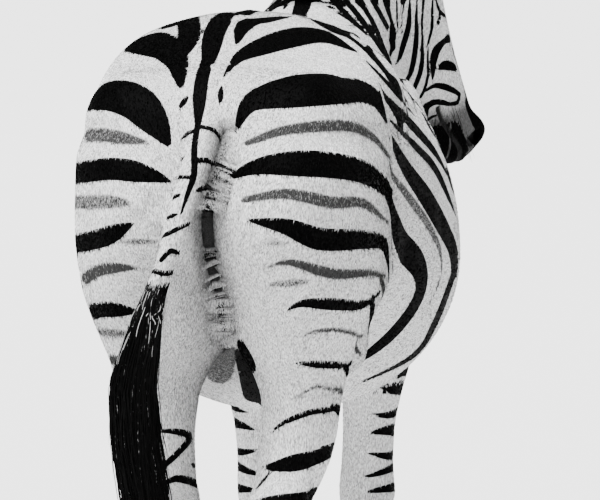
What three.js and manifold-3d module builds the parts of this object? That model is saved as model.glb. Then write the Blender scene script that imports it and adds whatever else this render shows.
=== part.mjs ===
// A plains zebra, life size, standing still and looking down past its right shoulder.
//
// Lengths are millimetres. The body is worked out in the animal's own axes: x towards its
// right side, y forwards, z up, with the hind quarters round y = 0. The finished group is then
// turned half round, so the animal faces -Y, and set with the middle of its box over the origin.
//
// The flesh is one smooth implicit body: sections along the trunk, upright sections down each
// leg, and sections along the neck and head, blended where they meet. It is given a surface
// patch by patch, at the cell size each part needs, and parted by thin flat cuts.

import * as THREE from 'three';
import { mergeVertices } from 'three/addons/utils/BufferGeometryUtils.js';
import Module from 'manifold-3d';

const wasm = await Module();
wasm.setup();

// ---------------------------------------------------------------- driving dimensions

const GAP = 0.3;                 // clear space left by every cut between two parts
const SEAT_GAP = 3;              // clear space under mane, ears and tail
const HIND_FRONT = 200;          // the hind legs' cut reaches no further forwards than this
const FORE_REAR = 766;           // and the forelegs' cut no further back
const FAR = 3000;                // half size of the blocks that make the flat cuts

const TRUNK_REAR = -120;         // first and last trunk section
const TRUNK_FRONT = 950;
const TRUNK_ROUNDING = 105;
const LEG_ROUNDING = 90;
const MUZZLE_ROUNDING = 34;

const HEAD_LENGTH = 492;         // poll to the middle of the muzzle's rounding
const HEAD_YAW = 45;             // turned to its right, degrees
const HEAD_PITCH = 67;           // nose down, degrees
const POLL = new THREE.Vector3(115, 1162, 1522);

const EYE_RADIUS = 20;
const EYE_ALONG = 150;           // from the poll towards the nose
const EYE_SIDE = 84;
const EYE_DROP = 34;             // below the line of the forehead

const EAR_LENGTH = 158;
const EAR_WIDTH = 74;
const MANE_HEIGHT = 88;
const MANE_HALF_WIDTH = 15;

const TRUNK_CELL = [58, 66, 58]; // size of the surface's cells on each part
const NECK_CELL = [45, 45, 45];
const HEAD_CELL = [26.5, 26.5, 26.5];
const HIND_CELL = [28, 33, 56];
const FORE_CELL = [25, 26, 50];
const HOOF_CELL = [28, 31, 28];
const EAR_CELL = [15, 15, 17];

const HOOF_PROUD = 1.5;          // the hoof's wall stands this much out from the pastern's line
const CORONET_HEIGHT = 62;       // top of the hoof, at its middle

// ---------------------------------------------------------------- number helpers

// A smooth curve through [place, value] pairs, without overshoot between them.
function profile(pairs) {
  const last = pairs.length - 1;
  const slopes = pairs.map(([place, value], i) => {
    if (i === 0 || i === last) {
      return 0;
    }
    const before = (value - pairs[i - 1][1]) / (place - pairs[i - 1][0]);
    const after = (pairs[i + 1][1] - value) / (pairs[i + 1][0] - place);
    return before * after <= 0 ? 0 : (2 * before * after) / (before + after);
  });
  return (place) => {
    if (place <= pairs[0][0]) {
      return pairs[0][1];
    }
    if (place >= pairs[last][0]) {
      return pairs[last][1];
    }
    let i = 0;
    while (place > pairs[i + 1][0]) {
      i += 1;
    }
    const span = pairs[i + 1][0] - pairs[i][0];
    const t = (place - pairs[i][0]) / span;
    const rise = t * t * (3 - 2 * t);
    const lead = t * (1 - t) * (1 - t) * span * slopes[i];
    const trail = t * t * (t - 1) * span * slopes[i + 1];
    return pairs[i][1] + (pairs[i + 1][1] - pairs[i][1]) * rise + lead + trail;
  };
}

function clamp(value, low, high) {
  return Math.min(high, Math.max(low, value));
}

// Union of two distances, blended over about the width k.
function blend(a, b, k) {
  const h = Math.max(k - Math.abs(a - b), 0) / k;
  return Math.min(a, b) - (h * h * k) / 4;
}

// Distance to an oval of half sizes a and b, measured along the ray from its middle.
function oval(u, v, a, b, power) {
  const reach = Math.hypot(u, v);
  if (reach < 1e-6) {
    return -Math.min(a, b);
  }
  const q = (Math.abs(u / a) ** power + Math.abs(v / b) ** power) ** (1 / power);
  return reach - reach / q;
}

// Rounds off a section that has ended, by how far the point is beyond its end.
function roundOff(distance, beyond, rounding) {
  if (beyond <= 0) {
    return distance;
  }
  return Math.hypot(Math.max(distance + rounding, 0), beyond) - rounding;
}

function ellipsoid(p, centre, size) {
  const u = (p.x - centre[0]) / size[0];
  const v = (p.y - centre[1]) / size[1];
  const w = (p.z - centre[2]) / size[2];
  const q = Math.hypot(u, v, w);
  const reach = Math.hypot(p.x - centre[0], p.y - centre[1], p.z - centre[2]);
  return q < 1e-6 ? -Math.min(...size) : reach - reach / q;
}

// ---------------------------------------------------------------- trunk

const backLine = profile([[-120, 1222], [-40, 1262], [60, 1294], [160, 1302], [280, 1292],
  [420, 1274], [540, 1268], [660, 1276], [760, 1292], [830, 1294], [900, 1262], [950, 1215]]);
const bellyLine = profile([[-120, 900], [-40, 820], [60, 770], [150, 738], [240, 686],
  [350, 632], [450, 613], [540, 607], [640, 612], [740, 626], [820, 648], [950, 716]]);
const trunkHalfWidth = profile([[-120, 128], [-40, 186], [60, 222], [160, 240], [260, 262],
  [380, 292], [500, 309], [600, 298], [700, 266], [800, 226], [880, 190], [950, 160]]);
const widestHeight = profile([[-120, 1040], [100, 1030], [300, 930], [480, 884], [640, 884],
  [820, 930], [950, 960]]);
const trunkPower = profile([[-120, 2.2], [60, 2.5], [240, 2.6], [420, 2.1], [700, 2.0], [950, 2.0]]);

function trunk(p) {
  const y = clamp(p.y, TRUNK_REAR, TRUNK_FRONT);
  const middle = widestHeight(y);
  const half = p.z > middle ? backLine(y) - middle : middle - bellyLine(y);
  const section = oval(p.x, p.z - middle, trunkHalfWidth(y), half, trunkPower(y));
  return roundOff(section, Math.abs(p.y - y), TRUNK_ROUNDING);
}

// ---------------------------------------------------------------- legs

// A leg is a stack of level ovals. Each has an outer and an inner side, measured from the
// animal's middle, and a rear and a front.
const HIND_LEG = {
  top: 1120,
  outer: profile([[0, 148], [40, 144], [72, 136], [100, 128], [135, 126], [168, 132], [200, 127],
    [250, 119], [340, 114], [420, 118], [455, 126], [490, 131], [525, 139], [570, 157],
    [600, 168], [640, 176], [690, 180], [740, 192], [810, 220], [870, 237], [950, 244],
    [1070, 240], [1120, 228]]),
  inner: profile([[0, 50], [40, 53], [72, 60], [100, 68], [135, 70], [168, 64], [200, 66],
    [250, 68], [340, 62], [420, 50], [455, 41], [490, 37], [525, 36], [570, 47], [640, 53],
    [690, 50], [730, 36], [760, 17], [800, -4], [900, -10], [1000, 4], [1120, 20]]),
  rear: profile([[0, -101], [40, -104], [72, -104], [100, -116], [135, -136], [168, -148],
    [200, -140], [250, -137], [340, -143], [420, -156], [455, -176], [485, -195], [510, -196],
    [540, -180], [590, -160], [650, -152], [700, -158], [760, -180], [820, -206], [900, -238],
    [980, -252], [1050, -246], [1120, -215]]),
  front: profile([[0, 22], [40, 6], [72, -8], [100, -28], [135, -52], [168, -68], [200, -82],
    [250, -90], [340, -96], [420, -92], [455, -86], [500, -76], [540, -58], [590, -24],
    [650, 24], [700, 78], [760, 148], [820, 192], [880, 206], [1000, 196], [1120, 150]]),
  power: profile([[0, 2.3], [72, 2.1], [300, 2.1], [480, 2.4], [600, 2.1], [900, 2.2],
    [1120, 2.2]]),
};

const FORE_LEG = {
  top: 1060,
  outer: profile([[0, 148], [40, 145], [72, 137], [100, 128], [135, 125], [168, 130], [200, 123],
    [250, 118], [310, 119], [350, 130], [385, 143], [430, 148], [480, 147], [540, 150],
    [600, 162], [660, 180], [740, 198], [840, 210], [940, 204], [1060, 168]]),
  inner: profile([[0, 48], [40, 51], [72, 58], [100, 67], [135, 70], [168, 65], [200, 70],
    [250, 73], [310, 71], [350, 60], [385, 48], [430, 45], [480, 49], [540, 52], [600, 52],
    [660, 44], [740, 30], [1060, 20]]),
  rear: profile([[0, 872], [40, 872], [72, 875], [100, 866], [135, 850], [168, 840], [200, 850],
    [250, 855], [310, 855], [350, 850], [385, 838], [430, 834], [480, 832], [540, 822],
    [600, 808], [660, 788], [720, 762], [780, 722], [840, 704], [940, 680], [1060, 690]]),
  front: profile([[0, 990], [40, 974], [72, 960], [100, 942], [135, 925], [168, 918], [200, 906],
    [250, 902], [310, 903], [350, 910], [385, 922], [430, 925], [480, 921], [540, 925],
    [600, 932], [660, 942], [740, 965], [840, 1010], [930, 1036], [1000, 1020], [1060, 980]]),
  power: profile([[0, 2.3], [72, 2.1], [340, 2.1], [410, 2.6], [480, 2.2], [1060, 2.1]]),
};

// Where each foot stands, ahead of and to the right of its place squarely under the body.
const STANCE = {
  hind: { '-1': { ahead: -14, right: 11 }, 1: { ahead: 14, right: 0 } },
  fore: { '-1': { ahead: -12, right: 8 }, 1: { ahead: 12, right: 0 } },
};
const STEP_FADES_AT = 1000;      // heights up the leg where each shift has faded out
const SWAY_FADES_AT = 780;

function leg(p, shape, side, foot) {
  const z = Math.min(p.z, shape.top);
  const outer = shape.outer(z);
  const inner = shape.inner(z);
  const rear = shape.rear(z);
  const front = shape.front(z);
  const ahead = foot.ahead * clamp(1 - z / STEP_FADES_AT, 0, 1);
  const right = foot.right * clamp(2 - (2 * z) / SWAY_FADES_AT, 0, 1);
  const u = side * (p.x - right) - (outer + inner) / 2;
  const v = p.y - ahead - (front + rear) / 2;
  const section = oval(u, v, (outer - inner) / 2, (front - rear) / 2, shape.power(z));
  return roundOff(section, p.z - shape.top, LEG_ROUNDING);
}

// ---------------------------------------------------------------- neck

// Neck sections from the shoulders to behind the ears: middle, half depth and half width.
const NECK = [
  { at: [0, 812, 1050], depth: 204, width: 148 },
  { at: [14, 872, 1158], depth: 184, width: 116 },
  { at: [28, 924, 1250], depth: 162, width: 98 },
  { at: [38, 980, 1332], depth: 141, width: 89 },
  { at: [48, 1040, 1406], depth: 121, width: 80 },
  { at: [62, 1106, 1472], depth: 102, width: 70 },
];
const neckPlaces = NECK.map((section) => new THREE.Vector3(...section.at));
const neckSpan = new THREE.Vector3();
const neckFoot = new THREE.Vector3();
const neckOffset = new THREE.Vector3();
const neckUp = new THREE.Vector3();
const neckSide = new THREE.Vector3();

// Nearest place on the neck's bent axis: which length of it, and how far along that length.
function nearestNeck(p) {
  let best = { distance: Infinity };
  for (let i = 0; i + 1 < NECK.length; i += 1) {
    neckSpan.subVectors(neckPlaces[i + 1], neckPlaces[i]);
    const free = neckOffset.subVectors(p, neckPlaces[i]).dot(neckSpan) / neckSpan.lengthSq();
    const t = clamp(free, 0, 1);
    const distance = neckOffset.addScaledVector(neckSpan, -t).length();
    if (distance < best.distance) {
      const first = i === 0 && free < 0;
      const final = i + 2 === NECK.length && free > 1;
      const beyond = first || final ? Math.abs(free - t) * neckSpan.length() : 0;
      best = { distance, i, t, beyond };
    }
  }
  return best;
}

function neck(p) {
  const { i, t, beyond } = nearestNeck(p);
  neckSpan.subVectors(neckPlaces[i + 1], neckPlaces[i]);
  neckFoot.copy(neckPlaces[i]).addScaledVector(neckSpan, t);
  neckSpan.normalize();
  neckSide.set(neckSpan.y, -neckSpan.x, 0).normalize();
  neckUp.crossVectors(neckSide, neckSpan);
  neckOffset.subVectors(p, neckFoot);
  neckOffset.addScaledVector(neckSpan, -neckOffset.dot(neckSpan));
  const depth = THREE.MathUtils.lerp(NECK[i].depth, NECK[i + 1].depth, t);
  const width = THREE.MathUtils.lerp(NECK[i].width, NECK[i + 1].width, t);
  const section = oval(neckOffset.dot(neckSide), neckOffset.dot(neckUp), width, depth, 2);
  return roundOff(section, beyond, Math.min(width, depth) * 0.8);
}

// ---------------------------------------------------------------- head

const yaw = THREE.MathUtils.degToRad(HEAD_YAW);
const pitch = THREE.MathUtils.degToRad(HEAD_PITCH);
const headAlong = new THREE.Vector3(
  Math.cos(pitch) * Math.sin(yaw), Math.cos(pitch) * Math.cos(yaw), -Math.sin(pitch));
const headUp = new THREE.Vector3(
  Math.sin(pitch) * Math.sin(yaw), Math.sin(pitch) * Math.cos(yaw), Math.cos(pitch));
const headSide = new THREE.Vector3().crossVectors(headAlong, headUp);

// A place given along the head from the poll, to its right side, and above the face line.
function onHead(along, side, up) {
  return POLL.clone().addScaledVector(headAlong, along).addScaledVector(headSide, side)
    .addScaledVector(headUp, up);
}

const faceLine = profile([[-20, -20], [20, -2], [80, 10], [130, 14], [190, 8], [260, 0],
  [340, -5], [410, -6], [455, -9], [485, -18], [500, -28]]);
const jawLine = profile([[-20, -120], [20, -158], [70, -192], [120, -212], [165, -212],
  [215, -190], [280, -158], [350, -132], [410, -118], [455, -114], [485, -116], [500, -112]]);
const headHalfWidth = profile([[-20, 50], [20, 64], [70, 80], [125, 92], [165, 90], [220, 74],
  [290, 62], [360, 54], [420, 50], [460, 53], [485, 52], [500, 48]]);
const headPower = profile([[-20, 2.1], [120, 2.4], [250, 2.5], [400, 2.3], [500, 2.2]]);

function head(p) {
  const offset = p.clone().sub(POLL);
  const free = offset.dot(headAlong);
  const along = clamp(free, 0, HEAD_LENGTH);
  const top = faceLine(along);
  const bottom = jawLine(along);
  const side = offset.dot(headSide);
  const up = offset.dot(headUp) - (top + bottom) / 2;
  const section = oval(side, up, headHalfWidth(along), (top - bottom) / 2, headPower(along));
  return roundOff(section, Math.abs(free - along), MUZZLE_ROUNDING);
}

// Swellings on the head: brow, cheek muscle, facial crest, nostril rims and chin.
const headSwellings = [];
for (const side of [-1, 1]) {
  headSwellings.push({ at: onHead(136, side * 66, -18), size: 32 });
  headSwellings.push({ at: onHead(128, side * 52, -140), size: 52 });
  headSwellings.push({ at: onHead(255, side * 50, -62), size: 27 });
  headSwellings.push({ at: onHead(478, side * 34, -34), size: 27 });
}
headSwellings.push({ at: onHead(472, 0, -118), size: 30 });

// ---------------------------------------------------------------- muscles of the body

// Each has its middle and half sizes for the right side; the left side mirrors it.
const PAIRED_MUSCLES = [
  { at: [140, 130, 1146], size: [98, 160, 106], width: 60 },     // croup
  { at: [192, 236, 1150], size: [34, 46, 60], width: 60 },       // point of the hip
  { at: [168, 120, 800], size: [74, 96, 92], width: 60 },        // stifle
  { at: [96, -196, 1010], size: [70, 62, 110], width: 50 },      // buttock
  { at: [176, 800, 1010], size: [46, 110, 180], width: 70 },     // shoulder blade
  { at: [150, 960, 930], size: [62, 74, 78], width: 60 },        // point of the shoulder
  { at: [74, 1000, 880], size: [62, 66, 110], width: 50 },       // breast
];

// ---------------------------------------------------------------- the whole body

function flesh(p) {
  let d = trunk(p);
  const mirrored = new THREE.Vector3(Math.abs(p.x), p.y, p.z);
  for (const muscle of PAIRED_MUSCLES) {
    d = blend(d, ellipsoid(mirrored, muscle.at, muscle.size), muscle.width);
  }
  const hind = blend(
    leg(p, HIND_LEG, 1, STANCE.hind[1]), leg(p, HIND_LEG, -1, STANCE.hind[-1]), 40);
  d = blend(d, hind, 58);
  const fore = Math.min(
    leg(p, FORE_LEG, 1, STANCE.fore[1]), leg(p, FORE_LEG, -1, STANCE.fore[-1]));
  d = blend(d, fore, 60);
  d = blend(d, neck(p), 95);
  let skull = head(p);
  for (const swelling of headSwellings) {
    skull = blend(skull, p.distanceTo(swelling.at) - swelling.size, 26);
  }
  return blend(d, skull, 46);
}

// ---------------------------------------------------------------- surface of a field

// Gives the field a closed surface inside a box of cells: one vertex in each cell that the
// surface crosses, one quad round each crossed edge, then every vertex drawn onto the surface.
function surface(field, low, high, cell) {
  const count = [0, 1, 2].map((k) => Math.ceil((high[k] - low[k]) / cell[k]) + 1);
  const [nx, ny, nz] = count;
  const at = (i, j, k) => (k * ny + j) * nx + i;
  const place = (i, j, k) => new THREE.Vector3(
    low[0] + i * cell[0], low[1] + j * cell[1], low[2] + k * cell[2]);
  const values = new Float64Array(nx * ny * nz);
  for (let k = 0; k < nz; k += 1) {
    for (let j = 0; j < ny; j += 1) {
      for (let i = 0; i < nx; i += 1) {
        const rim = i === 0 || j === 0 || k === 0 || i === nx - 1 || j === ny - 1 || k === nz - 1;
        const value = field(place(i, j, k));
        values[at(i, j, k)] = rim ? Math.max(value, 1) : value;
      }
    }
  }
  closePinches(values, [1, nx, nx * ny], count);
  const vertices = [];
  const vertexOf = new Int32Array(nx * ny * nz).fill(-1);
  const corner = new THREE.Vector3();
  for (let k = 0; k < nz - 1; k += 1) {
    for (let j = 0; j < ny - 1; j += 1) {
      for (let i = 0; i < nx - 1; i += 1) {
        const sum = new THREE.Vector3();
        let crossings = 0;
        for (let edge = 0; edge < 12; edge += 1) {
          const axis = edge >> 2;
          const a = [0, 0, 0];
          a[(axis + 1) % 3] = edge & 1;
          a[(axis + 2) % 3] = (edge >> 1) & 1;
          const b = [...a];
          b[axis] = 1;
          const va = values[at(i + a[0], j + a[1], k + a[2])];
          const vb = values[at(i + b[0], j + b[1], k + b[2])];
          if ((va < 0) !== (vb < 0)) {
            corner.copy(place(i + a[0], j + a[1], k + a[2]));
            corner.lerp(place(i + b[0], j + b[1], k + b[2]), va / (va - vb));
            sum.add(corner);
            crossings += 1;
          }
        }
        if (crossings > 0) {
          vertexOf[at(i, j, k)] = vertices.length;
          vertices.push(settle(field, sum.divideScalar(crossings)));
        }
      }
    }
  }
  const triangles = [];
  const quad = (a, b, c, d, flip) => {
    const shortFirst = vertices[a].distanceTo(vertices[c]) < vertices[b].distanceTo(vertices[d]);
    const faces = shortFirst ? [[a, b, c], [a, c, d]] : [[a, b, d], [b, c, d]];
    for (const face of faces) {
      triangles.push(...(flip ? [face[0], face[2], face[1]] : face));
    }
  };
  for (let k = 0; k < nz - 1; k += 1) {
    for (let j = 0; j < ny - 1; j += 1) {
      for (let i = 0; i < nx - 1; i += 1) {
        const inside = values[at(i, j, k)] < 0;
        if (j > 0 && k > 0 && inside !== values[at(i + 1, j, k)] < 0) {
          quad(vertexOf[at(i, j - 1, k - 1)], vertexOf[at(i, j, k - 1)],
            vertexOf[at(i, j, k)], vertexOf[at(i, j - 1, k)], !inside);
        }
        if (i > 0 && k > 0 && inside !== values[at(i, j + 1, k)] < 0) {
          quad(vertexOf[at(i - 1, j, k - 1)], vertexOf[at(i - 1, j, k)],
            vertexOf[at(i, j, k)], vertexOf[at(i, j, k - 1)], !inside);
        }
        if (i > 0 && j > 0 && inside !== values[at(i, j, k + 1)] < 0) {
          quad(vertexOf[at(i - 1, j - 1, k)], vertexOf[at(i, j - 1, k)],
            vertexOf[at(i, j, k)], vertexOf[at(i - 1, j, k)], !inside);
        }
      }
    }
  }
  return solid(vertices, triangles);
}

// Where two clefts meet corner to corner across a cell's side, the shallower one is filled,
// so that no edge of the surface is shared by four faces.
function closePinches(values, stride, count) {
  const shallow = -0.05;
  let found = true;
  while (found) {
    found = false;
    for (let axis = 0; axis < 3; axis += 1) {
      const u = (axis + 1) % 3;
      const v = (axis + 2) % 3;
      for (let n = 0; n + stride[u] + stride[v] < values.length; n += 1) {
        if (Math.floor(n / stride[u]) % count[u] === count[u] - 1) {
          continue;
        }
        const square = [n, n + stride[u], n + stride[u] + stride[v], n + stride[v]];
        const [a, b, c, d] = square.map((m) => values[m] < 0);
        if (a === c && b === d && a !== b) {
          const open = square.filter((m) => values[m] >= 0);
          open.sort((m, o) => values[m] - values[o]);
          values[open[0]] = shallow;
          found = true;
        }
      }
    }
  }
}

// Moves a point onto the surface by a few short steps down the field's slope.
function settle(field, point) {
  const probe = new THREE.Vector3();
  for (let turn = 0; turn < 3; turn += 1) {
    const value = field(point);
    const slope = new THREE.Vector3();
    for (const axis of ['x', 'y', 'z']) {
      probe.copy(point);
      probe[axis] += 0.5;
      slope[axis] = (field(probe) - value) / 0.5;
    }
    const steepness = Math.max(slope.lengthSq(), 0.15);
    point.addScaledVector(slope, -clamp(value / steepness, -9, 9));
  }
  return point;
}

// ---------------------------------------------------------------- solids

function solid(vertices, triangles) {
  const vertProperties = new Float32Array(vertices.flatMap((v) => [v.x, v.y, v.z]));
  const mesh = new wasm.Mesh({ numProp: 3, vertProperties, triVerts: new Uint32Array(triangles) });
  return new wasm.Manifold(mesh);
}

function solidOf(geometry) {
  geometry.deleteAttribute('normal');
  geometry.deleteAttribute('uv');
  const merged = mergeVertices(geometry, 1e-3);
  const vertProperties = new Float32Array(merged.attributes.position.array);
  const triVerts = new Uint32Array(merged.index.array);
  return new wasm.Manifold(new wasm.Mesh({ numProp: 3, vertProperties, triVerts }));
}

// Everything on the far side of a flat cut that passes through a point.
function beyondCut(through, normal) {
  const facing = new THREE.Vector3(...normal).normalize();
  const block = new THREE.BoxGeometry(2 * FAR, 2 * FAR, 2 * FAR);
  block.applyQuaternion(new THREE.Quaternion().setFromUnitVectors(
    new THREE.Vector3(0, 0, 1), facing));
  const middle = new THREE.Vector3(...through).addScaledVector(facing, FAR);
  block.translate(middle.x, middle.y, middle.z);
  return solidOf(block);
}

// The two sides of a cut, each kept half the gap away from it. The room is the side after the
// cut with the whole gap: what the other part gives up.
function cutSides(through, normal) {
  const facing = new THREE.Vector3(...normal).normalize();
  const near = new THREE.Vector3(...through).addScaledVector(facing, -GAP / 2);
  const far = new THREE.Vector3(...through).addScaledVector(facing, GAP / 2);
  return {
    before: beyondCut(near.toArray(), facing.clone().negate().toArray()),
    after: beyondCut(far.toArray(), facing.toArray()),
    room: beyondCut(near.toArray(), facing.toArray()),
  };
}

function block(low, high) {
  const size = low.map((value, k) => high[k] - value);
  const box = new THREE.BoxGeometry(...size);
  box.translate(...low.map((value, k) => (value + high[k]) / 2));
  return solidOf(box);
}

// A tube of oval rings along a bent line, closed at both ends.
function sweep(stations, sides) {
  const path = new THREE.CatmullRomCurve3(stations.map((s) => new THREE.Vector3(...s.at)));
  const rings = stations.length * 2 - 1;
  const wide = profile(stations.map((s, i) => [i / (stations.length - 1), s.wide]));
  const deep = profile(stations.map((s, i) => [i / (stations.length - 1), s.deep]));
  const vertices = [];
  for (let ring = 0; ring < rings; ring += 1) {
    const t = ring / (rings - 1);
    const centre = path.getPoint(t);
    const along = path.getTangent(t);
    const right = new THREE.Vector3(1, 0, 0).addScaledVector(along, -along.x).normalize();
    const back = new THREE.Vector3().crossVectors(along, right);
    for (let side = 0; side < sides; side += 1) {
      const angle = (side / sides) * 2 * Math.PI;
      vertices.push(centre.clone().addScaledVector(right, Math.cos(angle) * wide(t))
        .addScaledVector(back, Math.sin(angle) * deep(t)));
    }
  }
  const first = vertices.push(path.getPoint(0)) - 1;
  const final = vertices.push(path.getPoint(1)) - 1;
  const triangles = [];
  for (let side = 0; side < sides; side += 1) {
    const next = (side + 1) % sides;
    triangles.push(first, next, side);
    const lastRing = (rings - 1) * sides;
    triangles.push(final, lastRing + side, lastRing + next);
    for (let ring = 0; ring + 1 < rings; ring += 1) {
      const low = ring * sides;
      const high = low + sides;
      triangles.push(low + side, low + next, high + next, low + side, high + next, high + side);
    }
  }
  return solid(vertices, triangles);
}

// ---------------------------------------------------------------- the cuts between parts

const neckCut = cutSides([0, 905, 1110], [0, 0.86, 0.5]);
const hindCut = cutSides([0, 0, 772], [0, -0.3, -1]);
const foreCut = cutSides([0, 880, 640], [0, 0, -1]);
const middleCut = cutSides([0, 0, 0], [1, 0, 0]);
const hoofTilt = [0, -0.42, -1];
const dockCut = cutSides([-74, -275, 872], [-0.25, 0, -1]);

// The head's side of its two cuts: one from the poll to the throat, one under the jaw.
function headSpace(clearance) {
  const nape = onHead(4 - clearance, 0, -60);
  const napeNormal = headAlong.clone().multiplyScalar(0.93).addScaledVector(headUp, 0.37);
  const throat = onHead(120, 0, -226 - clearance);
  return beyondCut(nape.toArray(), napeNormal.toArray())
    .intersect(beyondCut(throat.toArray(), headUp.toArray()));
}

// ---------------------------------------------------------------- parts of flesh

function trunkPart() {
  const whole = surface(flesh, [-330, -300, 560], [330, 1140, 1345], TRUNK_CELL);
  const hindQuarter = hindCut.room.intersect(block([-400, -400, 0], [400, HIND_FRONT, 1000]));
  const foreQuarter = foreCut.room.intersect(block([-400, FORE_REAR, 0], [400, 1200, 1000]));
  return whole.intersect(neckCut.before).subtract(hindQuarter).subtract(foreQuarter)
    .intersect(beyondCut([0, 0, 560], [0, 0, 1]));
}

function neckPart() {
  const whole = surface(flesh, [-190, 760, 860], [330, 1420, 1680], NECK_CELL);
  return whole.intersect(neckCut.after).subtract(headSpace(GAP));
}

function headPart(sockets) {
  const whole = surface(flesh, [-60, 960, 920], [460, 1500, 1660], HEAD_CELL);
  return whole.intersect(headSpace(0)).subtract(sockets);
}

function hindLegPart(side, hoofPlane) {
  const low = side > 0 ? [-24, -300, -40] : [-330, -300, -40];
  const high = side > 0 ? [330, 320, 860] : [24, 320, 860];
  const whole = surface(flesh, low, high, HIND_CELL);
  const half = side > 0 ? middleCut.after : middleCut.before;
  return whole.intersect(hindCut.after).intersect(half).intersect(hoofPlane.before)
    .intersect(block([-400, -400, 0], [400, HIND_FRONT - GAP, 1000]));
}

function foreLegPart(side, hoofPlane) {
  const low = side > 0 ? [8, 740, -40] : [-230, 740, -40];
  const high = side > 0 ? [230, 1080, 700] : [-8, 1080, 700];
  const whole = surface(flesh, low, high, FORE_CELL);
  return whole.intersect(foreCut.after).intersect(hoofPlane.before)
    .intersect(block([-400, FORE_REAR + GAP, 0], [400, 1200, 1000]));
}

// The hoof below the coronet, cut flat at the ground.
function hoofPart(shape, side, foot, hoofPlane) {
  const field = (p) => leg(p, shape, side, foot) - HOOF_PROUD;
  const y = (shape.front(0) + shape.rear(0)) / 2 + foot.ahead;
  const x = (side * (shape.outer(0) + shape.inner(0))) / 2 + foot.right;
  const whole = surface(field, [x - 70, y - 110, -34], [x + 70, y + 110, 140], HOOF_CELL);
  return whole.intersect(hoofPlane.after).intersect(beyondCut([0, 0, 0], [0, 0, 1]));
}

// ---------------------------------------------------------------- eyes, ears, mane, tail

function eyeAt(side) {
  return onHead(EYE_ALONG, side * EYE_SIDE, -EYE_DROP);
}

function eyePart(side, radius) {
  const ball = new THREE.SphereGeometry(radius, 12, 8);
  ball.applyQuaternion(new THREE.Quaternion().setFromUnitVectors(
    new THREE.Vector3(0, 1, 0), headSide));
  ball.translate(...eyeAt(side).toArray());
  return solidOf(ball);
}

const earHalfWidth = profile([[0, 0.40], [0.12, 0.62], [0.35, 0.96], [0.5, 1], [0.75, 0.8],
  [0.92, 0.42], [1, 0.18]]);

// An ear is a tapering cup, open towards the side and front.
function earPart(side) {
  const root = onHead(4, side * 44, -22);
  const out = headAlong.clone().multiplyScalar(-0.86).addScaledVector(headSide, side * 0.36)
    .addScaledVector(headUp, 0.2).normalize();
  const open = headSide.clone().multiplyScalar(side * 0.62).addScaledVector(headUp, 0.72);
  open.addScaledVector(out, -open.dot(out)).normalize();
  const across = new THREE.Vector3().crossVectors(out, open);
  const field = (p) => {
    const offset = p.clone().sub(root);
    const free = offset.dot(out) / EAR_LENGTH;
    const t = clamp(free, 0, 1);
    const half = (EAR_WIDTH / 2) * earHalfWidth(t);
    const u = offset.dot(across);
    const bowl = 0.62 * half * (1 - (u / half) ** 2);
    const v = offset.dot(open) + bowl * 0.9 - 8;
    const wall = oval(u, v, half, 7.5 + 10 * (1 - t) ** 3, 2);
    return roundOff(wall, Math.abs(free - t) * EAR_LENGTH, 4);
  };
  const reach = 200;
  const low = root.toArray().map((value) => value - reach);
  const high = root.toArray().map((value) => value + reach);
  return surface(field, low, high, EAR_CELL);
}

// The crest of the neck, from the withers over the poll to the forelock.
function crestLine() {
  const places = [new THREE.Vector3(0, 792, 1286), new THREE.Vector3(0, 846, 1292)];
  for (const section of NECK.slice(2)) {
    const centre = new THREE.Vector3(...section.at);
    const outward = new THREE.Vector3(-0.10, -0.86, 0.5).normalize();
    places.push(centre.addScaledVector(outward, section.depth * 0.94));
  }
  places.push(onHead(-4, 0, -14));
  places.push(onHead(52, 0, 4));
  return new THREE.CatmullRomCurve3(places);
}

// The upright mane: a thin fin that follows the crest.
function manePart() {
  const line = crestLine();
  const steps = 14;
  const vertices = [];
  for (let step = 0; step <= steps; step += 1) {
    const t = step / steps;
    const foot = line.getPoint(t);
    const along = line.getTangent(t);
    const away = foot.clone().sub(new THREE.Vector3(75, 1140, 1090)).normalize();
    const upright = new THREE.Vector3(0, -0.25, 1).lerp(away, clamp(t * 1.6, 0, 1));
    upright.addScaledVector(along, -upright.dot(along)).normalize();
    const across = new THREE.Vector3().crossVectors(along, upright);
    const swell = Math.sin(Math.PI * clamp(0.06 + 0.9 * t, 0, 1)) ** 0.5;
    const height = MANE_HEIGHT * swell;
    for (const [wide, up] of [[-1, -14], [1, -14], [0.8, 0.62 * height], [0.28, height],
      [-0.28, height], [-0.8, 0.62 * height]]) {
      vertices.push(foot.clone().addScaledVector(across, wide * MANE_HALF_WIDTH)
        .addScaledVector(upright, up));
    }
  }
  const triangles = [];
  for (let step = 0; step < steps; step += 1) {
    for (let side = 0; side < 6; side += 1) {
      const a = step * 6 + side;
      const b = step * 6 + ((side + 1) % 6);
      triangles.push(a, b + 6, b, a, a + 6, b + 6);
    }
  }
  const end = steps * 6;
  for (let side = 1; side < 5; side += 1) {
    triangles.push(0, side, side + 1);
    triangles.push(end, end + side + 1, end + side);
  }
  return solid(vertices, triangles);
}

const TAIL = [
  { at: [2, -150, 1178], wide: 26, deep: 20 },
  { at: [-3, -208, 1132], wide: 33, deep: 25 },
  { at: [-11, -246, 1088], wide: 31, deep: 24 },
  { at: [-22, -268, 1037], wide: 26, deep: 22 },
  { at: [-38, -281, 984], wide: 23, deep: 20 },
  { at: [-57, -287, 918], wide: 20, deep: 18 },
  { at: [-76, -288, 867], wide: 20, deep: 18 },
  { at: [-90, -284, 820], wide: 26, deep: 23 },
  { at: [-110, -272, 735], wide: 32, deep: 29 },
  { at: [-109, -258, 639], wide: 34, deep: 30 },
  { at: [-98, -246, 557], wide: 32, deep: 27 },
  { at: [-88, -238, 480], wide: 24, deep: 20 },
  { at: [-82, -234, 404], wide: 8, deep: 7 },
];

// ---------------------------------------------------------------- the animal

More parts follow.
